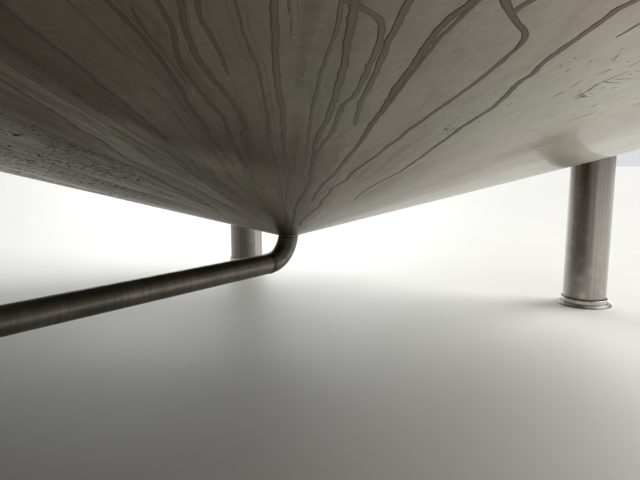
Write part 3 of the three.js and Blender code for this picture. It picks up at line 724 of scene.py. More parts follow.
shell_finish = sheet_finish("shell_mill_finish", (0.60, 0.595, 0.57, 1), (0.44, 0.43, 0.40, 1), (1, 1, 0.06))
for course, seam in enumerate(COURSE_SEAMS):
    low = SHELL_BOTTOM + course * COURSE_HEIGHT + PLATE_GAP
    profile = plate_profile(low, low + COURSE_HEIGHT - PLATE_GAP)
    for side, turn in (("back", 0), ("front", 180)):
        shape = turned(profile, 150, math.radians(seam + turn) + 0.0001, math.pi - 0.0002)
        plate = new_object(f"plate_{course + 1}_{side}", *shape)
        if (course, side) == (0, "front"):
            cutter = new_object("doorway_cutter", *front_bar(*DOORWAY, 1.8, 2.1))
            cut = plate.modifiers.new("doorway", "BOOLEAN")
            cut.operation, cut.object, cut.solver = "DIFFERENCE", cutter, "EXACT"
            depsgraph = bpy.context.evaluated_depsgraph_get()
            plate_mesh = bpy.data.meshes.new_from_object(plate.evaluated_get(depsgraph))
            plate_mesh.set_sharp_from_angle(angle=math.radians(30))
            plate.modifiers.clear()
            plate.data = plate_mesh
            bpy.data.objects.remove(cutter)
        plate.data.materials.clear()
        dress(plate, shell_finish, f"shell_{course + 1}_{side}")

# Shell welds: narrow beads, brushed bright, round the shell at each course, where it meets the cone and
# the roof, and up each plate's edge.
BEAD = 0.0045


def circle(steps):
    """The angles of even points round a circle."""
    return [2 * math.pi * i / steps for i in range(steps)]


def add(name, shape, finish, stands_for=None, sharp=35):
    """Makes a piece from its (points, faces) and dresses it."""
    return dress(new_object(name, *shape, sharp), finish, stands_for)


def swept(path, half_width, height, outward, closed=False):
    """A low bead along a path: a rounded strip of that half width that stands up along outward(point)."""
    section = [(-1, -0.3), (-1, 0.1), (-0.6, 0.75), (0, 1), (0.6, 0.75), (1, 0.1), (1, -0.3)]
    count = len(path)
    vertices = []
    for i, point in enumerate(path):
        before = path[(i - 1) % count] if closed else path[max(0, i - 1)]
        after = path[(i + 1) % count] if closed else path[min(count - 1, i + 1)]
        up = outward(point)
        side = (after - before).cross(up).normalized()
        crest = height * (1 + 0.18 * math.sin(i * 2.4))
        vertices += [point + side * (half_width * a) + up * (crest * b) for a, b in section]
    return vertices, skin(count, len(section), closed)


def gathered(shapes):
    """Several meshes as one."""
    vertices, faces = [], []
    for points, polygons in shapes:
        start = len(vertices)
        vertices += points
        faces += [tuple(start + i for i in polygon) for polygon in polygons]
    return vertices, faces


def from_axis(point):
    """The level direction away from the tank's axis."""
    return Vector((point.x, point.y, 0)).normalized()


def round_path(radius, height, steps):
    return [Vector((radius * math.cos(a), radius * math.sin(a), height)) for a in circle(steps)]


def weld_finish(name="brushed_weld", colour=(0.62, 0.60, 0.56, 1), tint=(0.42, 0.36, 0.29, 1)):
    made, tree, shader, place = new_finish(name, Metallic=0.95)
    heat = clouds(tree, place, 22.0, 3.0, 0.35, 0.7)
    paint(tree, shader, blend(tree, heat, colour, tint), spread(tree, heat, 0.24, 0.38))
    relief(tree, shader, clouds(tree, place, 420.0, 3.0), 0.0002)
    return made


def shell_welds():
    shapes = []
    radius = SHELL_RADIUS - 0.0015
    for course in range(5):
        path = round_path(radius, SHELL_BOTTOM + course * COURSE_HEIGHT, 420)
        shapes.append(swept(path, BEAD, 0.0012, from_axis, closed=True))
    for course, seam in enumerate(COURSE_SEAMS):
        low = SHELL_BOTTOM + course * COURSE_HEIGHT
        for turn in (0, 180):
            angle = math.radians(seam + turn)
            foot = Vector((SHELL_RADIUS * math.cos(angle), SHELL_RADIUS * math.sin(angle), low))
            path = [foot + Vector((0, 0, COURSE_HEIGHT * i / 150)) for i in range(151)]
            shapes.append(swept(path, BEAD, 0.0008, from_axis))
    return gathered(shapes)


bright_weld = weld_finish()
add("shell_welds", shell_welds(), bright_weld)

# Roof: a low cone of 4 mm sheet made of ten petals, welded together on lines from the hatch to the
# knuckle and to the shell's top edge.
ROOF_SLOPE = math.radians(15)
ROOF_EDGE = SHELL_TOP + KNUCKLE_RADIUS * math.tan((math.pi / 2 - ROOF_SLOPE) / 2)
HATCH_RADIUS = 0.25
PETALS = 10


def roof_height(distance):
    return ROOF_EDGE + (SHELL_RADIUS - distance) * math.tan(ROOF_SLOPE) + PLATE_GAP


def roof_profile(offset, rings):
    corner = arc(SHELL_RADIUS - KNUCKLE_RADIUS, SHELL_TOP + PLATE_GAP, KNUCKLE_RADIUS + offset, 0, 75, 8)
    start = corner[-1][0]
    distances = [start + (HATCH_RADIUS - start) * i / rings for i in range(1, rings + 1)]
    return corner + [(d, roof_height(d) + offset / math.cos(ROOF_SLOPE)) for d in distances]


def roof_petals():
    profile = roof_profile(0, 20) + roof_profile(-SHEET, 4)[::-1]
    vertices, faces = turned(profile, 360)
    for point in vertices:
        distance = math.hypot(point.x, point.y)
        middle = math.sin((distance - HATCH_RADIUS) / (SHELL_RADIUS - HATCH_RADIUS) * math.pi)
        if distance < 1.95:
            petal = -math.cos(PETALS * math.atan2(point.y, point.x))
            point.z -= 0.002 * max(0.0, middle) * (1 + petal)
    return vertices, faces


def upward(point):
    """Straight up at any point."""
    return Vector((0, 0, 1))


def roof_seams():
    shapes = []
    for i in range(PETALS):
        angle = 2 * math.pi * i / PETALS
        path = []
        for j in range(141):
            distance = HATCH_RADIUS + 0.02 + (1.94 - HATCH_RADIUS - 0.02) * j / 140
            x, y = distance * math.cos(angle), distance * math.sin(angle)
            path.append(Vector((x, y, roof_height(distance))))
        shapes.append(swept(path, BEAD, 0.0010, upward))
    return gathered(shapes)


roof_finish = sheet_finish("roof_mill_finish", (0.47, 0.465, 0.44, 1), (0.33, 0.315, 0.285, 1), (1, 1, 1),
                           (0.48, 0.58))
add("roof_petals", roof_petals(), roof_finish, "roof_cone")
add("roof_welds", roof_seams(), bright_weld)

# Roof hatch: a rolled neck with a turned flange, welded into the roof, and a dished lid that rests on a
# black ring seal. The lid turns on a hinge at the back and is held by a screw clamp at the front.
NECK_LOW, NECK_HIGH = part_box("hatch_neck")
LID_LOW, LID_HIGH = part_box("hatch_lid")
NECK_OUTER = HATCH_RADIUS - PLATE_GAP
FLANGE_RADIUS = NECK_HIGH.x


def bright_finish(name="bright_fitting", colour=(0.66, 0.655, 0.63, 1), rough=(0.18, 0.30),
                  stretch=(1, 1, 1)):
    made, tree, shader, place = new_finish(name, Metallic=1.0)
    brushed = clouds(tree, place, 70.0, 4.0, 0.3, 0.7, stretch)
    dull = clouds(tree, place, 6.0, 3.0, 0.4, 0.7)
    shade = shaded(colour, 0.82)
    paint(tree, shader, blend(tree, dull, colour, shade), spread(tree, brushed, *rough))
    relief(tree, shader, brushed, 0.00003)
    return made


def rubber_finish(name, colour):
    made, tree, shader, place = new_finish(name, Metallic=0.0, Coat_Weight=0.1)
    grain = clouds(tree, place, 60.0, 5.0, 0.3, 0.7)
    paint(tree, shader, blend(tree, grain, colour, shaded(colour, 0.6)), spread(tree, grain, 0.45, 0.65))
    relief(tree, shader, grain, 0.0001)
    return made


bright = bright_finish()
black_rubber = rubber_finish("black_rubber", (0.03, 0.03, 0.032, 1))
neck_top = NECK_HIGH.z
neck_profile = [(NECK_OUTER - SHEET, NECK_LOW.z), (NECK_OUTER, NECK_LOW.z), (NECK_OUTER, neck_top - 0.010)]
neck_profile += arc(NECK_OUTER + 0.004, neck_top - 0.010, 0.004, 180, 90, 5)
neck_profile += [(FLANGE_RADIUS - 0.001, neck_top - 0.006), (FLANGE_RADIUS, neck_top - 0.005)]
neck_profile += [(FLANGE_RADIUS, neck_top - 0.001), (FLANGE_RADIUS - 0.001, neck_top)]
neck_profile += [(NECK_OUTER - SHEET, neck_top)]
add("hatch_neck_turned", turned(neck_profile, 144), bright, "hatch_neck")

dish = NECK_OUTER - SHEET - 0.02
rise = LID_HIGH.z - LID_LOW.z - 0.005
CROWN_STEP = 0.0785
crown_turns = [CROWN_STEP * i for i in range(20, -1, -1)]
crown = [(dish * math.sin(a), neck_top + 0.0015 + rise * math.cos(a)) for a in crown_turns]
lid_profile = [(0, neck_top + rise - 0.004)] + [(r, z - 0.004) for r, z in reversed(crown[:-1])]
lid_profile += [(FLANGE_RADIUS - 0.002, neck_top + PLATE_GAP), (FLANGE_RADIUS, neck_top + 0.0015)]
lid_profile += [(FLANGE_RADIUS, neck_top + 0.0045), (FLANGE_RADIUS - 0.002, neck_top + 0.0055)]
lid_profile += [(dish + 0.006, neck_top + 0.006)] + [(r, z + 0.0035) for r, z in crown]
add("hatch_lid_dished", turned(lid_profile, 144),
    bright_finish("lid_sheet", (0.50, 0.495, 0.475, 1), (0.32, 0.44)), "hatch_lid")

add("hatch_seal", turned(arc(FLANGE_RADIUS - 0.003, neck_top, 0.0035, 0, 330, 11), 144),
    black_rubber)


def soften(name, width=0.0015):
    """Breaks the sharp edges of a piece of the frame."""
    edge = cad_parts[name].modifiers.new("broken_edges", "BEVEL")
    edge.width, edge.segments, edge.limit_method = width, 2, "ANGLE"
    edge.angle_limit = math.radians(40)


def give(name, finish):
    """Puts a finish on a piece of the frame."""
    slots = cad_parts[name].data.materials
    slots.clear()
    slots.append(finish)


for name in ("hatch_hinge", "hatch_clamp"):
    soften(name)
    give(name, bright)

neck_path = round_path(HATCH_RADIUS + 0.003, roof_height(HATCH_RADIUS), 200)
add("hatch_weld", swept(neck_path, 0.006, 0.004, upward, closed=True), bright_weld)

# Breather: a short stub of stainless tube through the roof, with a turned mushroom cap. It lets air in
# and out as the tank is emptied and filled.
BREATHER_AWAY = 0.9
BREATHER_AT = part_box("breather")
breather_middle = (BREATHER_AT[0] + BREATHER_AT[1]) / 2
cap_top = BREATHER_AT[1].z
stub_foot = roof_height(BREATHER_AWAY) + PLATE_GAP
breather_profile = [(0, stub_foot - 0.004), (0.026, stub_foot - 0.004), (0.026, cap_top - 0.040)]
breather_profile += [(0.030, cap_top - 0.040), (0.030, cap_top - 0.044), (0.053, cap_top - 0.049)]
breather_profile += arc(0.051, cap_top - 0.045, 0.004, -60, 0, 4)
breather_profile += arc(0.045, cap_top - 0.020, 0.010, 0, 70, 6)
breather_profile += [(0.030, cap_top - 0.004), (0.014, cap_top - 0.0005), (0, cap_top)]
to_breather = Matrix.Translation((breather_middle.x, breather_middle.y, 0))
add("breather_cap", turned(breather_profile, 64, place=to_breather), bright, "breather")

# Lifting lugs: four plates with an eye, flame cut, with their edges broken. They stand upright on the
# top course, a quarter of the way round from one to the next, with a weld bead up each side.


def tube_finish(name, light, dark, stretch, rough=(0.28, 0.44), metallic=0.9):
    """Drawn tube with its grain along the given stretch, and a little grime."""
    made, tree, shader, place = new_finish(name, Metallic=metallic)
    grain = clouds(tree, place, 60.0, 5.0, 0.3, 0.7, stretch)
    grime = clouds(tree, place, 7.0, 5.0, 0.45, 0.75)
    base = blend(tree, grain, light, shaded(light, 0.86))
    paint(tree, shader, blend(tree, spread(tree, grime, 0, 0.7), base, dark), spread(tree, grain, *rough))
    relief(tree, shader, grain, 0.00005)
    return made


lug_finish = tube_finish("lug_plate", (0.45, 0.44, 0.41, 1), (0.30, 0.28, 0.25, 1), (1, 1, 1))
lug_welds = []
for i in range(4):
    name = f"lifting_lug_{i + 1}"
    soften(name)
    give(name, lug_finish)
    low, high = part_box(name)
    angle = math.radians(90 * i)
    out = Vector((math.cos(angle), math.sin(angle), 0))
    across = Vector((-out.y, out.x, 0))
    for side in (-1, 1):
        foot = out * SHELL_RADIUS + across * (0.007 * side)
        path = [foot + Vector((0, 0, low.z + (high.z - low.z) * j / 40)) for j in range(41)]
        lug_welds.append(swept(path, 0.003, 0.003, from_axis))
add("lug_welds", gathered(lug_welds), bright_weld)

# Leg pads: rounds of sheet that spread each leg's load, bent to the cone and welded round their edge.
LEG_RING = 1.844
LEG_AZIMUTHS = [68.5, 140.5, 212.5, 284.5, 356.5]
LEG_RADIUS = 0.10955
PAD_RADIUS = 0.145
PAD_SHEET = 0.004


def leg_centre(azimuth):
    angle = math.radians(azimuth)
    return LEG_RING * math.cos(angle), LEG_RING * math.sin(angle)


def under_sheet(x, y, drop):
    """A point under the cone or its knuckle, lower by a drop square to the sheet."""
    distance = math.hypot(x, y)
    centre = SHELL_RADIUS - KNUCKLE_RADIUS
    if distance > centre + KNUCKLE_RADIUS * math.sin(CONE_SLOPE):
        reach = min(distance - centre, KNUCKLE_RADIUS)
        return SHELL_BOTTOM - math.sqrt(KNUCKLE_RADIUS**2 - reach**2) - drop
    return cone_height(distance) - drop / math.cos(CONE_SLOPE)


def pad(cx, cy):
    """A thin round that follows the sheet: rings of points on its lower and its upper face."""
    rings, steps = 8, 72
    vertices = []
    for drop, radii in ((PLATE_GAP, range(rings + 1)), (PLATE_GAP + PAD_SHEET, range(rings, -1, -1))):
        for ring in radii:
            radius = PAD_RADIUS * ring / rings
            for a in circle(steps):
                x, y = cx + radius * math.cos(a), cy + radius * math.sin(a)
                vertices.append(Vector((x, y, under_sheet(x, y, drop))))
    return vertices, skin(2 * (rings + 1), steps, capped=False)


def pad_bead(cx, cy, radius, drop, half_width, height):
    """A bead round a circle on the underside of the sheet."""
    path = []
    for a in circle(120):
        x, y = cx + radius * math.cos(a), cy + radius * math.sin(a)
        path.append(Vector((x, y, under_sheet(x, y, drop))))
    return swept(path, half_width, height, lambda point: Vector((0, 0, -1)), closed=True)


pad_finish = sheet_finish("pad_mill_finish", (0.46, 0.44, 0.40, 1), (0.30, 0.28, 0.25, 1), (1, 1, 1))
for i, azimuth in enumerate(LEG_AZIMUTHS):
    add(f"leg_pad_{i + 1}_sheet", pad(*leg_centre(azimuth)),
        pad_finish, f"leg_pad_{i + 1}")

# Legs: lengths of 219 mm stainless tube, ground lengthwise, saddle cut to the cone and welded to the
# pads. Each stands in the base plate of its foot.
FOOT_FLOOR = 0.008
# Each leg's side of painted shade: the azimuth where it is darkest, and its reach, in degrees.
SHADED_LEG_SIDES = [(262, 38), (282, 68), (300, 40), (80, 50), (20, 45)]


def leg_tube(cx, cy):
    """A tube with an even foot and a top that follows the pad."""
    rows, steps, wall = 24, 96, 0.003
    vertices = []
    for radius, order in ((LEG_RADIUS, range(rows + 1)), (LEG_RADIUS - wall, range(rows, -1, -1))):
        for row in order:
            for a in circle(steps):
                x, y = cx + radius * math.cos(a), cy + radius * math.sin(a)
                top = under_sheet(x, y, 2 * PLATE_GAP + PAD_SHEET)
                vertices.append(Vector((x, y, FOOT_FLOOR + (top - FOOT_FLOOR) * row / rows)))
    return vertices, skin(2 * (rows + 1), steps, closed=True)


def leg_side_shade(mesh, cx, cy, darkest, reach):
    """How much painted shade each point of a leg gets, kept as its grime value: a brown darkening that
    stands in for dark reflections on one side, most at one azimuth, fading out over a reach in degrees.
    """
    values = []
    for vertex in mesh.data.vertices:
        turn = math.degrees(math.atan2(vertex.co.y - cy, vertex.co.x - cx)) - darkest
        off = abs((turn + 180) % 360 - 180) / reach
        values.append(max(0.0, 1 - off**3))
    set_values(mesh, "grime", values)


def leg_finish():
    made, tree, shader, place = new_finish("ground_leg_tube", Metallic=0.92)
    grime = node(tree, "ShaderNodeAttribute", {}, attribute_name="grime").outputs["Fac"]
    grain = clouds(tree, place, 75.0, 5.0, 0.25, 0.75, (1, 1, 0.015))
    bands = clouds(tree, place, 26.0, 2.0, 0.35, 0.65, (1, 1, 0.02))
    splash = clouds(tree, place, 19.0, 6.0, 0.56, 0.70)
    height = node(tree, "ShaderNodeSeparateXYZ", {"Vector": place}).outputs["Z"]
    low = node(tree, "ShaderNodeMapRange", {"Value": height, "From Min": 0.02, "From Max": 0.75,
                                           "To Min": 1.0, "To Max": 0.15}).outputs[0]
    wet = combine(tree, "MULTIPLY", splash, low)
    base = blend(tree, bands, (0.43, 0.405, 0.375, 1), (0.50, 0.475, 0.445, 1))
    base = blend(tree, spread(tree, grain, 0, 0.45), base, (0.25, 0.23, 0.205, 1))
    # Painted shade: the grime value darkens one side of the leg in brown, for dark reflections, more so
    # higher up.
    higher = node(tree, "ShaderNodeMapRange", {"Value": height, "From Max": 0.7, "To Min": 0.3}).outputs[0]
    base = tinted(tree, combine(tree, "MULTIPLY", grime, higher), base, (0.33, 0.28, 0.245, 1))
    base = blend(tree, spread(tree, wet, 0, 0.55), base, (0.60, 0.585, 0.56, 1))
    # Painted shade: the top of each leg is darker just under the cone.
    top = blend(tree, 1.0, base, (0.38, 0.35, 0.33, 1), "MULTIPLY")
    base = blend(tree, soft_step(tree, height, 0.80, 0.99), base, top)
    # Painted shade: a dark band round the leg just above the collar, for the shadowed gap between them.
    base = blend(tree, soft_step(tree, height, 0.052, 0.040), base, (0.07, 0.055, 0.042, 1))
    paint(tree, shader, base, spread(tree, grain, 0.20, 0.34))
    relief(tree, shader, grain, 0.00006)
    return made


tube = leg_finish()
for i, azimuth in enumerate(LEG_AZIMUTHS):
    leg = new_object(f"leg_{i + 1}_tube", *leg_tube(*leg_centre(azimuth)))
    leg_side_shade(leg, *leg_centre(azimuth), *SHADED_LEG_SIDES[i])
    dress(leg, tube, f"leg_{i + 1}")
leg_beads = []
for azimuth in LEG_AZIMUTHS:
    x, y = leg_centre(azimuth)
    leg_beads.append(pad_bead(x, y, LEG_RADIUS + 0.002, PLATE_GAP + PAD_SHEET, 0.004, 0.004))
    leg_beads.append(pad_bead(x, y, PAD_RADIUS + 0.0015, 0.0, 0.0035, 0.0045))
add("leg_welds", gathered(leg_beads), bright_weld)

# Feet: a base plate on the floor, bedded and flashed over with grey sealant that flares out round the
# leg, and a loose collar of bent strip that shields the joint. One collar is taller than the others.
FOOT_RADIUS = 0.140
COLLAR_INNER = LEG_RADIUS + 0.0025
COLLAR_OUTER = COLLAR_INNER + 0.006


def foot_finish():
    made, tree, shader, place = new_finish("foot_sealant", Metallic=0.25, Coat_Weight=0.4, Coat_Roughness=0.2)
    smear = clouds(tree, place, 30.0, 5.0, 0.35, 0.65)
    stain = clouds(tree, place, 11.0, 4.0, 0.48, 0.66)
    base = blend(tree, smear, (0.24, 0.215, 0.185, 1), (0.42, 0.40, 0.365, 1))
    base = blend(tree, spread(tree, stain, 0, 0.8), base, (0.15, 0.105, 0.07, 1))
    height = node(tree, "ShaderNodeSeparateXYZ", {"Vector": place}).outputs["Z"]
    # Painted shade: a dark line where the sealant meets the floor, a painted contact shadow, and one where it
    # meets the collar, painted shade in the gap.
    floor_contact_shadow, collar_gap_shade = soft_step(tree, height, 0.007, 0.003), soft_step(tree, height, 0.015, 0.017)
    contact_shadows = combine(tree, "MAXIMUM", floor_contact_shadow, collar_gap_shade)
    base = blend(tree, contact_shadows, base, (0.06, 0.045, 0.033, 1))
    paint(tree, shader, base, spread(tree, smear, 0.45, 0.7))
    relief(tree, shader, smear, 0.0006)
    return made


sealant = foot_finish()
collar_finish = tube_finish("collar_strip", (0.60, 0.58, 0.55, 1), (0.34, 0.30, 0.25, 1), (1, 1, 0.1),
                            (0.16, 0.30))
foot_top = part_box("foot_1")[1].z
for i, azimuth in enumerate(LEG_AZIMUTHS):
    x, y = leg_centre(azimuth)
    to_leg = Matrix.Translation((x, y, 0))
    seat = LEG_RADIUS + PLATE_GAP
    skirt = [(0, 0), (FOOT_RADIUS, 0), (FOOT_RADIUS - 0.0005, 0.0018), (FOOT_RADIUS - 0.004, 0.004)]
    skirt += [(FOOT_RADIUS - 0.007, 0.0045), (FOOT_RADIUS - 0.008, 0.007), (FOOT_RADIUS - 0.0125, 0.0095)]
    skirt += [(FOOT_RADIUS - 0.0165, 0.0125), (FOOT_RADIUS - 0.018, 0.016), (COLLAR_OUTER + 0.0015, foot_top)]
    skirt += [(seat, foot_top), (seat, FOOT_FLOOR), (0, FOOT_FLOOR)]
    vertices, faces = turned(skirt, 120, place=to_leg)
    for point in vertices:
        away = math.hypot(point.x - x, point.y - y)
        if seat + 0.012 < away < FOOT_RADIUS - 0.001 and point.z > 0.001:
            ripple = noise.noise(Vector((point.x * 42, point.y * 42, i))) * 0.0016
            point.x += (point.x - x) / away * min(ripple, 0.0008)
            point.y += (point.y - y) / away * min(ripple, 0.0008)
    add(f"foot_{i + 1}_sealed", (vertices, faces), sealant, f"foot_{i + 1}", sharp=60)
    collar_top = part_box(f"foot_collar_{i + 1}")[1].z
    strip = [(COLLAR_INNER, foot_top), (COLLAR_OUTER, foot_top), (COLLAR_OUTER, collar_top - 0.0018)]
    strip += arc(COLLAR_OUTER - 0.0018, collar_top - 0.0018, 0.0018, 20, 90, 4)
    strip += [(COLLAR_INNER + 0.001, collar_top), (COLLAR_INNER, collar_top - 0.001)]
    add(f"foot_collar_{i + 1}_strip", turned(strip, 120, place=to_leg),
        collar_finish, f"foot_collar_{i + 1}")

# Outlet bend: a long-radius elbow of 73 mm tube, welded to the cone's lip and to the pipe. Tarnished
# nearly black, with fine brushing round it.
BEND_RADIUS = 0.110
PIPE_HEIGHT = 0.422
PIPE_RADIUS = LIP_RADIUS
PIPE_WALL = 0.002


def bend_ring(turn, radius, steps, level=None):
    """A circle square to the bend at a turn in degrees from upright, or cut at a level."""
    angle = math.radians(turn)
    centre_y = -BEND_RADIUS * (1 - math.sin(angle))
    centre_z = PIPE_HEIGHT + BEND_RADIUS * (1 - math.cos(angle))
    points = []
    for a in circle(steps):
        out = radius * math.cos(a)
        height = centre_z - out * math.cos(angle) if level is None else level
        points.append(Vector((radius * math.sin(a), centre_y + out * math.sin(angle), height)))
    return points


def elbow():
    """The bend from the pipe's end up to the lip, wall and all."""
    steps, rings = 72, 36
    top = LIP_HEIGHT - PLATE_GAP
    last = math.degrees(math.acos(1 - (top - PIPE_HEIGHT) / BEND_RADIUS))
    vertices = []
    for radius, order in ((PIPE_RADIUS, range(rings + 1)), (PIPE_RADIUS - PIPE_WALL, range(rings, -1, -1))):
        for ring in order:
            points = bend_ring(last * ring / rings, radius, steps, top if ring == rings else None)
            vertices += [Vector((p.x, p.y, min(p.z, top))) for p in points]
    return vertices, skin(2 * (rings + 1), steps, closed=True)


def along_bend(tree, place):
    """The position laid out straight along the bend, so that a pattern can run round the tube."""
    axes = node(tree, "ShaderNodeSeparateXYZ", {"Vector": place}).outputs
    out = combine(tree, "ADD", axes["Y"], BEND_RADIUS)
    rise = combine(tree, "SUBTRACT", axes["Z"], PIPE_HEIGHT + BEND_RADIUS)
    length = combine(tree, "MULTIPLY", combine(tree, "ARCTAN2", rise, out), BEND_RADIUS)
    return node(tree, "ShaderNodeCombineXYZ", {"X": axes["X"], "Y": length}).outputs[0]


def dark_finish(name, light, dark, scorched, brushed, bent=False):
    """Tarnished tube brushed across, with brown and olive patches, and burnt dark where it was welded."""
    made, tree, shader, place = new_finish(name, Metallic=0.85, Coat_Weight=0.25, Coat_Roughness=0.18)
    axes = node(tree, "ShaderNodeSeparateXYZ", {"Vector": place}).outputs
    burnt = 0.0
    for axis, first, last in scorched:
        burnt = combine(tree, "MAXIMUM", burnt, soft_step(tree, axes[axis], first, last))
    length = along_bend(tree, place) if bent else place
    brushing = clouds(tree, length, 120.0, 5.0, 0.3, 0.7, (0.12, 1, 0.12))
    tarnish = clouds(tree, place, 8.0, 4.0, 0.35, 0.65)
    base = blend(tree, tarnish, dark, light)
    base = blend(tree, spread(tree, brushing, 0, brushed), base, shaded(dark, 0.6))
    base = blend(tree, burnt, base, (0.02, 0.017, 0.014, 1))
    paint(tree, shader, base, spread(tree, brushing, 0.32, 0.48))
    relief(tree, shader, brushing, 0.00004)
    return made


scorched_ends = [("Y", -0.1015, -0.1035), ("Z", LIP_HEIGHT - 0.0075, LIP_HEIGHT - 0.005)]
elbow_finish = dark_finish("tarnished_bend", (0.27, 0.245, 0.21, 1), (0.16, 0.15, 0.125, 1),
                           scorched_ends, 0.6, bent=True)
add("outlet_bend", elbow(), elbow_finish, "outlet_elbow")

# Outlet welds: a thin bright ring under the cone's lip, and flat dark beads where the pipe meets the bend
# and the valve.
lip_path = round_path(PIPE_RADIUS - 0.0004, LIP_HEIGHT, 90)
add("lip_weld", swept(lip_path, 0.0025, 0.0018, from_axis, closed=True),
    weld_finish("lip_weld", (0.50, 0.46, 0.40, 1), (0.30, 0.27, 0.22, 1)))


def from_pipe(point):
    """The direction away from the pipe's own axis."""
    return Vector((point.x, 0, point.z - PIPE_HEIGHT)).normalized()


def pipe_path(distance, radius, steps=90):
    return [Vector((radius * math.sin(a), -distance, PIPE_HEIGHT + radius * math.cos(a)))
            for a in circle(steps)]


BEND_END, VALVE_END = 0.112, 1.79
dark_weld = weld_finish("dark_weld", (0.22, 0.20, 0.17, 1), (0.05, 0.043, 0.036, 1))
add("bend_weld", gathered([
    swept(pipe_path(BEND_END, PIPE_RADIUS - 0.0002), 0.0055, 0.0013, from_pipe, closed=True),
    swept(pipe_path(VALVE_END, PIPE_RADIUS - 0.0002), 0.0045, 0.0012, from_pipe, closed=True),
]), dark_weld)

# Outlet pipe: a straight length of the same tube out to the valve at the tank's rim, tarnished dark
# brown and brushed round.
PIPE_LOW, PIPE_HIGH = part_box("outlet_pipe")


def facing_front(height):
    """Stands a turned shape on its side at a height, its axis pointing to the front."""
    return Matrix.Translation((0, 0, height)) @ Matrix.Rotation(math.pi / 2, 4, "X")


TO_FRONT = facing_front(PIPE_HEIGHT)


def pipe_profile():
    near, far = -PIPE_HIGH.y, -PIPE_LOW.y
    rows = 60
    outer = [(PIPE_RADIUS, near + (far - near) * i / rows) for i in range(rows + 1)]
    return outer + [(PIPE_RADIUS - PIPE_WALL, far), (PIPE_RADIUS - PIPE_WALL, near)]


pipe_finish = dark_finish("tarnished_pipe", (0.28, 0.25, 0.215, 1), (0.18, 0.16, 0.138, 1),
                          [("Y", -0.1225, -0.1205)], 0.5)
add("outlet_pipe_tube", turned(pipe_profile(), 96, place=TO_FRONT),
    pipe_finish, "outlet_pipe")

# Outlet valve: a butterfly valve body between two turned flanges, held by four hexagon bolts, with a
# flat lever on its spindle. A cap with a knurled rim closes the end.
VALVE_NEAR = -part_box("outlet_valve")[1].y
VALVE_FAR = -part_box("outlet_valve")[0].y
CAP_NEAR = -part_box("outlet_cap")[1].y
CAP_FAR = -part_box("outlet_cap")[0].y


def rounded(points, size=0.001):
    """A closed profile with each corner that is off the axis cut back a little."""
    out = []
    count = len(points)
    for i, here in enumerate(points):
        if here[0] == 0:
            out.append(here)
            continue
        for other in (points[i - 1], points[(i + 1) % count]):
            length = math.hypot(other[0] - here[0], other[1] - here[1])
            share = min(0.4, size / max(length, 1e-9))
            out.append((here[0] + (other[0] - here[0]) * share, here[1] + (other[1] - here[1]) * share))
    return out


def hexagon(across, low, high, place):
    """A hexagon nut or bolt head with its corners chamfered."""
    radius = across / math.sqrt(3)
    small = radius * 0.9
    rise = (high - low) * 0.15
    profile = [(0, low), (radius, low), (radius, high - rise), (small, high), (0, high)]
    return turned(profile, 6, place=place)


valve_profile = rounded([
    (0, VALVE_NEAR), (PIPE_RADIUS, VALVE_NEAR), (PIPE_RADIUS, VALVE_NEAR + 0.010),
    (0.052, VALVE_NEAR + 0.012), (0.052, VALVE_NEAR + 0.022), (0.046, VALVE_NEAR + 0.024),
    (0.046, VALVE_FAR - 0.024), (0.052, VALVE_FAR - 0.022), (0.052, VALVE_FAR - 0.012),
    (PIPE_RADIUS, VALVE_FAR - 0.010), (PIPE_RADIUS, VALVE_FAR), (0, VALVE_FAR),
])
valve_finish = bright_finish("valve_casting", (0.56, 0.55, 0.525, 1), (0.28, 0.42))
add("outlet_valve_body", turned(valve_profile, 96, place=TO_FRONT),
    valve_finish, "outlet_valve")


def knurled_cap():
    """The cap, with shallow grips round its rim."""
    profile = rounded([(0, CAP_NEAR), (0.0447, CAP_NEAR), (0.0487, CAP_NEAR + 0.003),
                       (0.0487, CAP_FAR - 0.005), (0.0437, CAP_FAR), (0, CAP_FAR)])
    vertices, faces = turned(profile, 144)
    for point in vertices:
        radius = math.hypot(point.x, point.y)
        if radius > 0.0465:
            angle = math.atan2(point.y, point.x)
            grip = 1 - 0.022 * max(0.0, math.cos(18 * angle))
            point.x *= grip
            point.y *= grip
    return [TO_FRONT @ point for point in vertices], faces


add("outlet_cap_knurled", knurled_cap(), valve_finish, "outlet_cap")

bolts = []
for i in range(4):
    angle = math.radians(45 + 90 * i)
    place = TO_FRONT @ Matrix.Translation((0.0455 * math.cos(angle), 0.0455 * math.sin(angle), 0))
    bolts.append(hexagon(0.010, VALVE_NEAR + 0.0045, VALVE_NEAR + 0.0125, place))
    bolts.append(hexagon(0.010, VALVE_FAR - 0.0125, VALVE_FAR - 0.0045, place))
add("valve_bolts", gathered(bolts), bright)
soften("outlet_valve_lever")
give("outlet_valve_lever", bright)
grip_low, grip_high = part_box("outlet_valve_lever")


def lever_grip():
    """A moulded sleeve over the end of the lever."""
    middle = (grip_low + grip_high) / 2
    length, thick = 0.085, 0.0075
    centre_z = grip_high.z - 0.003
    vertices = []
    steps, rows = 24, 16
    for row in range(rows + 1):
        share = row / rows
        x = grip_high.x - 0.004 - length * (1 - share) + 0.004 * math.sin(share * math.pi * 0.5)
        end = math.sqrt(max(0.0, 1 - max(0.0, (abs(share - 0.5) - 0.42) / 0.08) ** 2))
        swell = 1 + 0.06 * math.sin(share * math.pi * 5)
        for a in circle(steps):
            y = middle.y + 0.0135 * swell * (0.25 + 0.75 * end) * math.cos(a)
            z = centre_z + thick * (0.25 + 0.75 * end) * math.sin(a)
            vertices.append(Vector((min(x, grip_high.x), y, z)))
    return vertices, skin(rows + 1, steps)


add("lever_grip", lever_grip(), black_rubber)

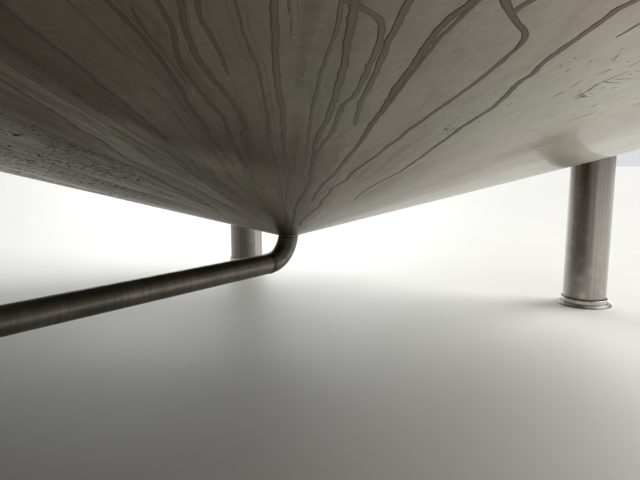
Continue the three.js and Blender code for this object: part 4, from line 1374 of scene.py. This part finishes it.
# Pipe hanger: a flat bar welded under the cone, with a ring clip round the pipe, which carries its
# length between the bend and the valve.
hanger_finish = tube_finish("hanger_bar", (0.42, 0.40, 0.37, 1), (0.27, 0.25, 0.22, 1), (1, 1, 0.1))
soften("pipe_hanger")
give("pipe_hanger", hanger_finish)

# Front door: an oval frame welded through the shell, a pressed door that closes on a black seal, and an
# arm with a handwheel that screws it tight. The arm turns on a pin at the left and latches at the right.
DOOR_FACE = 2.04
DOOR_HALF = (0.210, 0.265)


def oval_loop(grow, distance, steps=96):
    """An oval round the doorway, wider by an amount, at a distance in front of the axis."""
    points = []
    for a in circle(steps):
        x, z = (DOOR_HALF[0] + grow) * math.cos(a), (DOOR_HALF[1] + grow) * math.sin(a)
        points.append(Vector((x, -distance, DOOR_HEIGHT + z)))
    return points


def oval_body(section, closed=True, steps=96):
    """Joins ovals given as (grow, distance) pairs into a ring, or into a disc if it isn't closed."""
    loops = [oval_loop(grow, distance, steps) for grow, distance in section]
    return [point for loop in loops for point in loop], skin(len(loops), steps, closed)


add("door_frame_ring", oval_body([
    (0, 1.962), (0.0215, 1.962), (0.022, 1.9635), (0.022, 2.038), (0.020, DOOR_FACE), (0.001, DOOR_FACE),
    (0, 2.039),
]), bright, "door_frame")

door_finish = bright_finish("door_sheet", (0.58, 0.575, 0.55, 1), (0.27, 0.34), (0.12, 1, 1))
add("door_pressed", oval_body([
    (-0.19, 2.0405), (0.012, 2.0405), (0.0138, 2.042), (0.0138, 2.049), (0.012, 2.051), (-0.004, 2.0515),
    (-0.016, 2.0515), (-0.026, 2.0475), (-0.060, 2.0462), (-0.120, 2.0470), (-0.165, 2.0492), (-0.172, 2.052),
    (-0.178, 2.0655), (-0.182, 2.066), (-0.195, 2.066),
], closed=False), door_finish, "door", sharp=30)

add("door_seal", oval_body([
    (0.004, 2.0385), (0.0145, 2.0385), (0.0158, 2.0402), (0.0145, 2.042), (0.004, 2.042),
]), black_rubber)


def frame_bead():
    """The weld between the door frame and the shell: it follows the shell's curve."""
    path = []
    for point in oval_loop(0.0255, SHELL_RADIUS, 160):
        path.append(Vector((point.x, -math.sqrt((SHELL_RADIUS - 0.0005) ** 2 - point.x**2), point.z)))
    return swept(path, 0.005, 0.004, from_axis, closed=True)


add("door_weld", frame_bead(), bright_weld)
for name in ("door_arm", "door_hinge", "door_latch"):
    soften(name, 0.0012)
    give(name, bright)

WHEEL_LOW, WHEEL_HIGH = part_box("door_handwheel")
TO_DOOR = facing_front(DOOR_HEIGHT)


def handwheel():
    """A moulded wheel: a rim with finger grips, three cross spokes and a hub with a nut."""
    middle = -(WHEEL_HIGH.y - 0.014)
    steps, sides, radius, thick = 96, 16, 0.0745, 0.007
    vertices = []
    for a in circle(steps):
        grip = 1 + 0.12 * math.cos(12 * a)
        for b in circle(sides):
            away = radius + thick * math.cos(b) * grip - 0.0009
            x, z = away * math.cos(a), DOOR_HEIGHT + away * math.sin(a)
            vertices.append(Vector((x, -middle - thick * math.sin(b), z)))
    shapes = [(vertices, skin(steps, sides, closed=True))]
    for turn in range(3):
        spin = Matrix.Translation((0, -middle, DOOR_HEIGHT))
        spin @= Matrix.Rotation(math.radians(60 * turn), 4, "Y")
        spoke = []
        for step in range(17):
            x = -0.072 + 0.144 * step / 16
            wide = 0.0045 + 0.006 * math.exp(-((x / 0.03) ** 2))
            spoke += [spin @ Vector((x, 0.0045 * math.sin(b), wide * math.cos(b))) for b in circle(12)]
        shapes.append((spoke, skin(17, 12)))
    near = -WHEEL_HIGH.y
    hub = rounded([(0, near), (0.018, near), (0.018, near + 0.016), (0.015, near + 0.019), (0, near + 0.019)])
    shapes.append(turned(hub, 48, place=TO_DOOR))
    return gathered(shapes)


black_plastic = rubber_finish("black_moulding", (0.025, 0.025, 0.027, 1))
add("handwheel_moulded", handwheel(), black_plastic, "door_handwheel")
add("handwheel_nut", hexagon(0.016, -WHEEL_HIGH.y + 0.0185, -WHEEL_LOW.y, TO_DOOR),
    bright)

# Dial thermometer: a turned stainless case on a short stem, a white enamelled face with printed
# graduations and plain figures, and a black pointer.
DIAL_AZIMUTH, DIAL_HEIGHT, DIAL_FRONT = 288, 1.7, 2.062


def facing_outward(azimuth, height):
    """Stands a turned shape on its side at a height, its axis pointing away from the tank's."""
    turn = Matrix.Rotation(math.radians(azimuth), 4, "Z") @ Matrix.Rotation(math.pi / 2, 4, "Y")
    return Matrix.Translation((0, 0, height)) @ turn


TO_DIAL = facing_outward(DIAL_AZIMUTH, DIAL_HEIGHT)

case_profile = rounded([(0, 1.9975), (0.012, 1.9975), (0.012, 2.04), (0.048, 2.04), (0.050, 2.043),
                        (0.050, 2.061), (0.048, DIAL_FRONT), (0.044, DIAL_FRONT), (0.044, 2.057), (0, 2.057)],
                       0.0006)
add("thermometer_case", turned(case_profile, 96, place=TO_DIAL), bright, "thermometer")


def enamel_finish(name, colour):
    made, tree, shader, place = new_finish(name, Metallic=0.0, Coat_Weight=0.6, Coat_Roughness=0.05)
    grain = clouds(tree, place, 120.0, 2.0, 0.3, 0.7)
    paint(tree, shader, blend(tree, grain, colour, shaded(colour, 0.94)), spread(tree, grain, 0.25, 0.35))
    return made


face_finish = enamel_finish("white_enamel", (0.84, 0.83, 0.79, 1))
ink = enamel_finish("black_print", (0.02, 0.02, 0.02, 1))
face_profile = rounded([(0, 2.0570), (0.0435, 2.0570), (0.0435, 2.0582), (0, 2.0582)], 0.0002)
add("thermometer_face", turned(face_profile, 96, place=TO_DIAL), face_finish)


def bar_on_dial(turn, inner, outer, half_width, low, high):
    """A flat bar on the dial, from one radius to another, at a turn in degrees from straight up."""
    place = TO_DIAL @ Matrix.Rotation(math.radians(turn), 4, "Z")
    corners = [(-outer, -half_width), (-outer, half_width), (-inner, half_width), (-inner, -half_width)]
    vertices = [place @ Vector((x, y, z)) for z in (low, high) for x, y in corners]
    faces = [(0, 1, 2, 3), (4, 5, 6, 7), (0, 1, 5, 4), (1, 2, 6, 5), (2, 3, 7, 6), (3, 0, 4, 7)]
    return vertices, faces


marks = []
for i in range(41):
    turn = -135 + 270 * i / 40
    long = i % 10 == 0
    inner, half_width = (0.033, 0.0006) if long else (0.036, 0.0003)
    marks.append(bar_on_dial(turn, inner, 0.040, half_width, 2.0581, 2.0585))
marks.append(bar_on_dial(51, -0.010, 0.033, 0.0009, 2.0588, 2.0594))
marks.append(turned([(0, 2.0581), (0.0035, 2.0581), (0.0035, 2.0598), (0, 2.0598)], 24, place=TO_DIAL))
add("thermometer_marks", gathered(marks), ink)
for i, figure in enumerate(("0", "20", "40", "60", "80")):
    turn = math.radians(135 - 270 * i / 4)
    data = bpy.data.curves.new(f"figure_{figure}", "FONT")
    data.body, data.size, data.align_x, data.align_y = figure, 0.0095, "CENTER", "CENTER"
    data.extrude = 0.0002
    text = bpy.data.objects.new(f"figure_{figure}", data)
    on_dial = Matrix.Translation((-0.0265 * math.cos(turn), -0.0265 * math.sin(turn), 2.0584))
    text.matrix_world = TO_DIAL @ on_dial @ Matrix.Rotation(math.pi / 2, 4, "Z")
    bpy.context.scene.collection.objects.link(text)
    dress(text, ink)

# Sample tap: a small turned tap screwed into the shell low on the first course, with a moulded black
# handle of six wings.
TAP_AZIMUTH, TAP_HEIGHT = 250, 1.56
TO_TAP = facing_outward(TAP_AZIMUTH, TAP_HEIGHT)
tap_profile = rounded([(0, 1.9975), (0.022, 1.9975), (0.022, 2.003), (0.014, 2.004), (0.014, 2.020),
                       (0.0195, 2.022), (0.0195, 2.050), (0.009, 2.055), (0.009, 2.068), (0.0075, 2.0698),
                       (0, 2.0698)], 0.0008)
add("sample_tap_turned", turned(tap_profile, 64, place=TO_TAP), bright, "sample_tap")
wing_profile = rounded([(0, 2.026), (0.0035, 2.026), (0.0035, 2.046), (0, 2.046)], 0.001)
wings = []
for i in range(6):
    place = TO_TAP @ Matrix.Rotation(math.radians(60 * i), 4, "Z") @ Matrix.Translation((0.0185, 0, 0))
    wings.append(turned(wing_profile, 12, place=place))
add("sample_tap_grip", gathered(wings), black_plastic)

# Floor: a plain pale floor, level and wide enough to reach the horizon. It is there for the picture and
# isn't part of the tank.


def floor_finish():
    made, tree, shader, place = new_finish("pale_floor", Metallic=0.0)
    cast = clouds(tree, place, 0.9, 3.0, 0.3, 0.7)
    base = blend(tree, cast, (0.70, 0.695, 0.675, 1), (0.73, 0.725, 0.70, 1))
    paint(tree, shader, base, spread(tree, cast, 0.5, 0.6))
    return made


FLOOR_REACH = 90
floor_corners = [FLOOR_REACH * Vector(way) for way in ((-1, -1, 0), (1, -1, 0), (1, 1, 0), (-1, 1, 0))]
floor = raw_object("floor", floor_corners, [(0, 1, 2, 3)])
floor.data.materials.append(floor_finish())

# Light: large soft lamps far off, the strongest high beyond the tank's right side, and a dim surround
# that glows a little beyond the tank. The camera sees it as a plain pale backdrop.
GLOW_TOWARDS = (0.0, 0.94, 0.34)

world = bpy.data.worlds.new("surround")
bpy.context.scene.world = world
world.use_nodes = True
sky = world.node_tree
way = sky.nodes.new("ShaderNodeTexCoord").outputs["Generated"]
facing = node(sky, "ShaderNodeVectorMath", {0: way, 1: GLOW_TOWARDS}, operation="DOT_PRODUCT")
glowing = {"Value": facing.outputs["Value"], "From Min": 0.2, "To Min": 0.06, "To Max": 0.26}
glow = node(sky, "ShaderNodeMapRange", glowing, interpolation_type="SMOOTHSTEP").outputs[0]
sky.nodes["Background"].inputs["Color"].default_value = (0.96, 0.98, 1.0, 1)
seen = sky.nodes.new("ShaderNodeLightPath").outputs["Is Camera Ray"]
backdrop = node(sky, "ShaderNodeMix", {0: seen, 2: glow, 3: 0.74}).outputs[0]
sky.links.new(backdrop, sky.nodes["Background"].inputs["Strength"])


def lamp(name, azimuth, elevation, strength, colour=(1, 1, 1)):
    """A very large soft lamp far off in that direction from the tank, in degrees."""
    data = bpy.data.lights.new(name, "SUN")
    data.energy, data.color, data.angle = strength, colour, math.radians(40)
    made = bpy.data.objects.new(name, data)
    side, high = math.radians(azimuth), math.radians(elevation)
    back = Vector((math.cos(side) * math.cos(high), math.sin(side) * math.cos(high), math.sin(high)))
    made.rotation_euler = (-back).to_track_quat("-Z", "Y").to_euler()
    bpy.context.scene.collection.objects.link(made)


lamp("lamp_right", 45, 45, 2.9, (1.0, 0.985, 0.95))
lamp("lamp_beyond", 90, 45, 0.65)
lamp("lamp_far_left", 135, 22, 1.2, (0.96, 0.99, 1.0))
lamp("lamp_front_left", 225, 68, 0.4)
lamp("lamp_front_right", 315, 68, 0.4)

# Camera: low down, about under the tank's rim, looking across the cone bottom to the far legs. It is
# where the photograph was taken from.
camera_data = bpy.data.cameras.new("camera")
camera_data.sensor_width = SENSOR_WIDTH
camera_data.lens = CAMERA_LENS
camera_data.clip_start, camera_data.clip_end = 0.02, 400.0
right, up, forward = camera_axes()
turn = Matrix((right, up, -forward)).transposed().to_4x4()
camera = bpy.data.objects.new("camera", camera_data)
camera.matrix_world = Matrix.Translation(CAMERA_PLACE) @ turn
bpy.context.scene.collection.objects.link(camera)
bpy.context.scene.camera = camera
bpy.context.scene.view_settings.view_transform = "Standard"
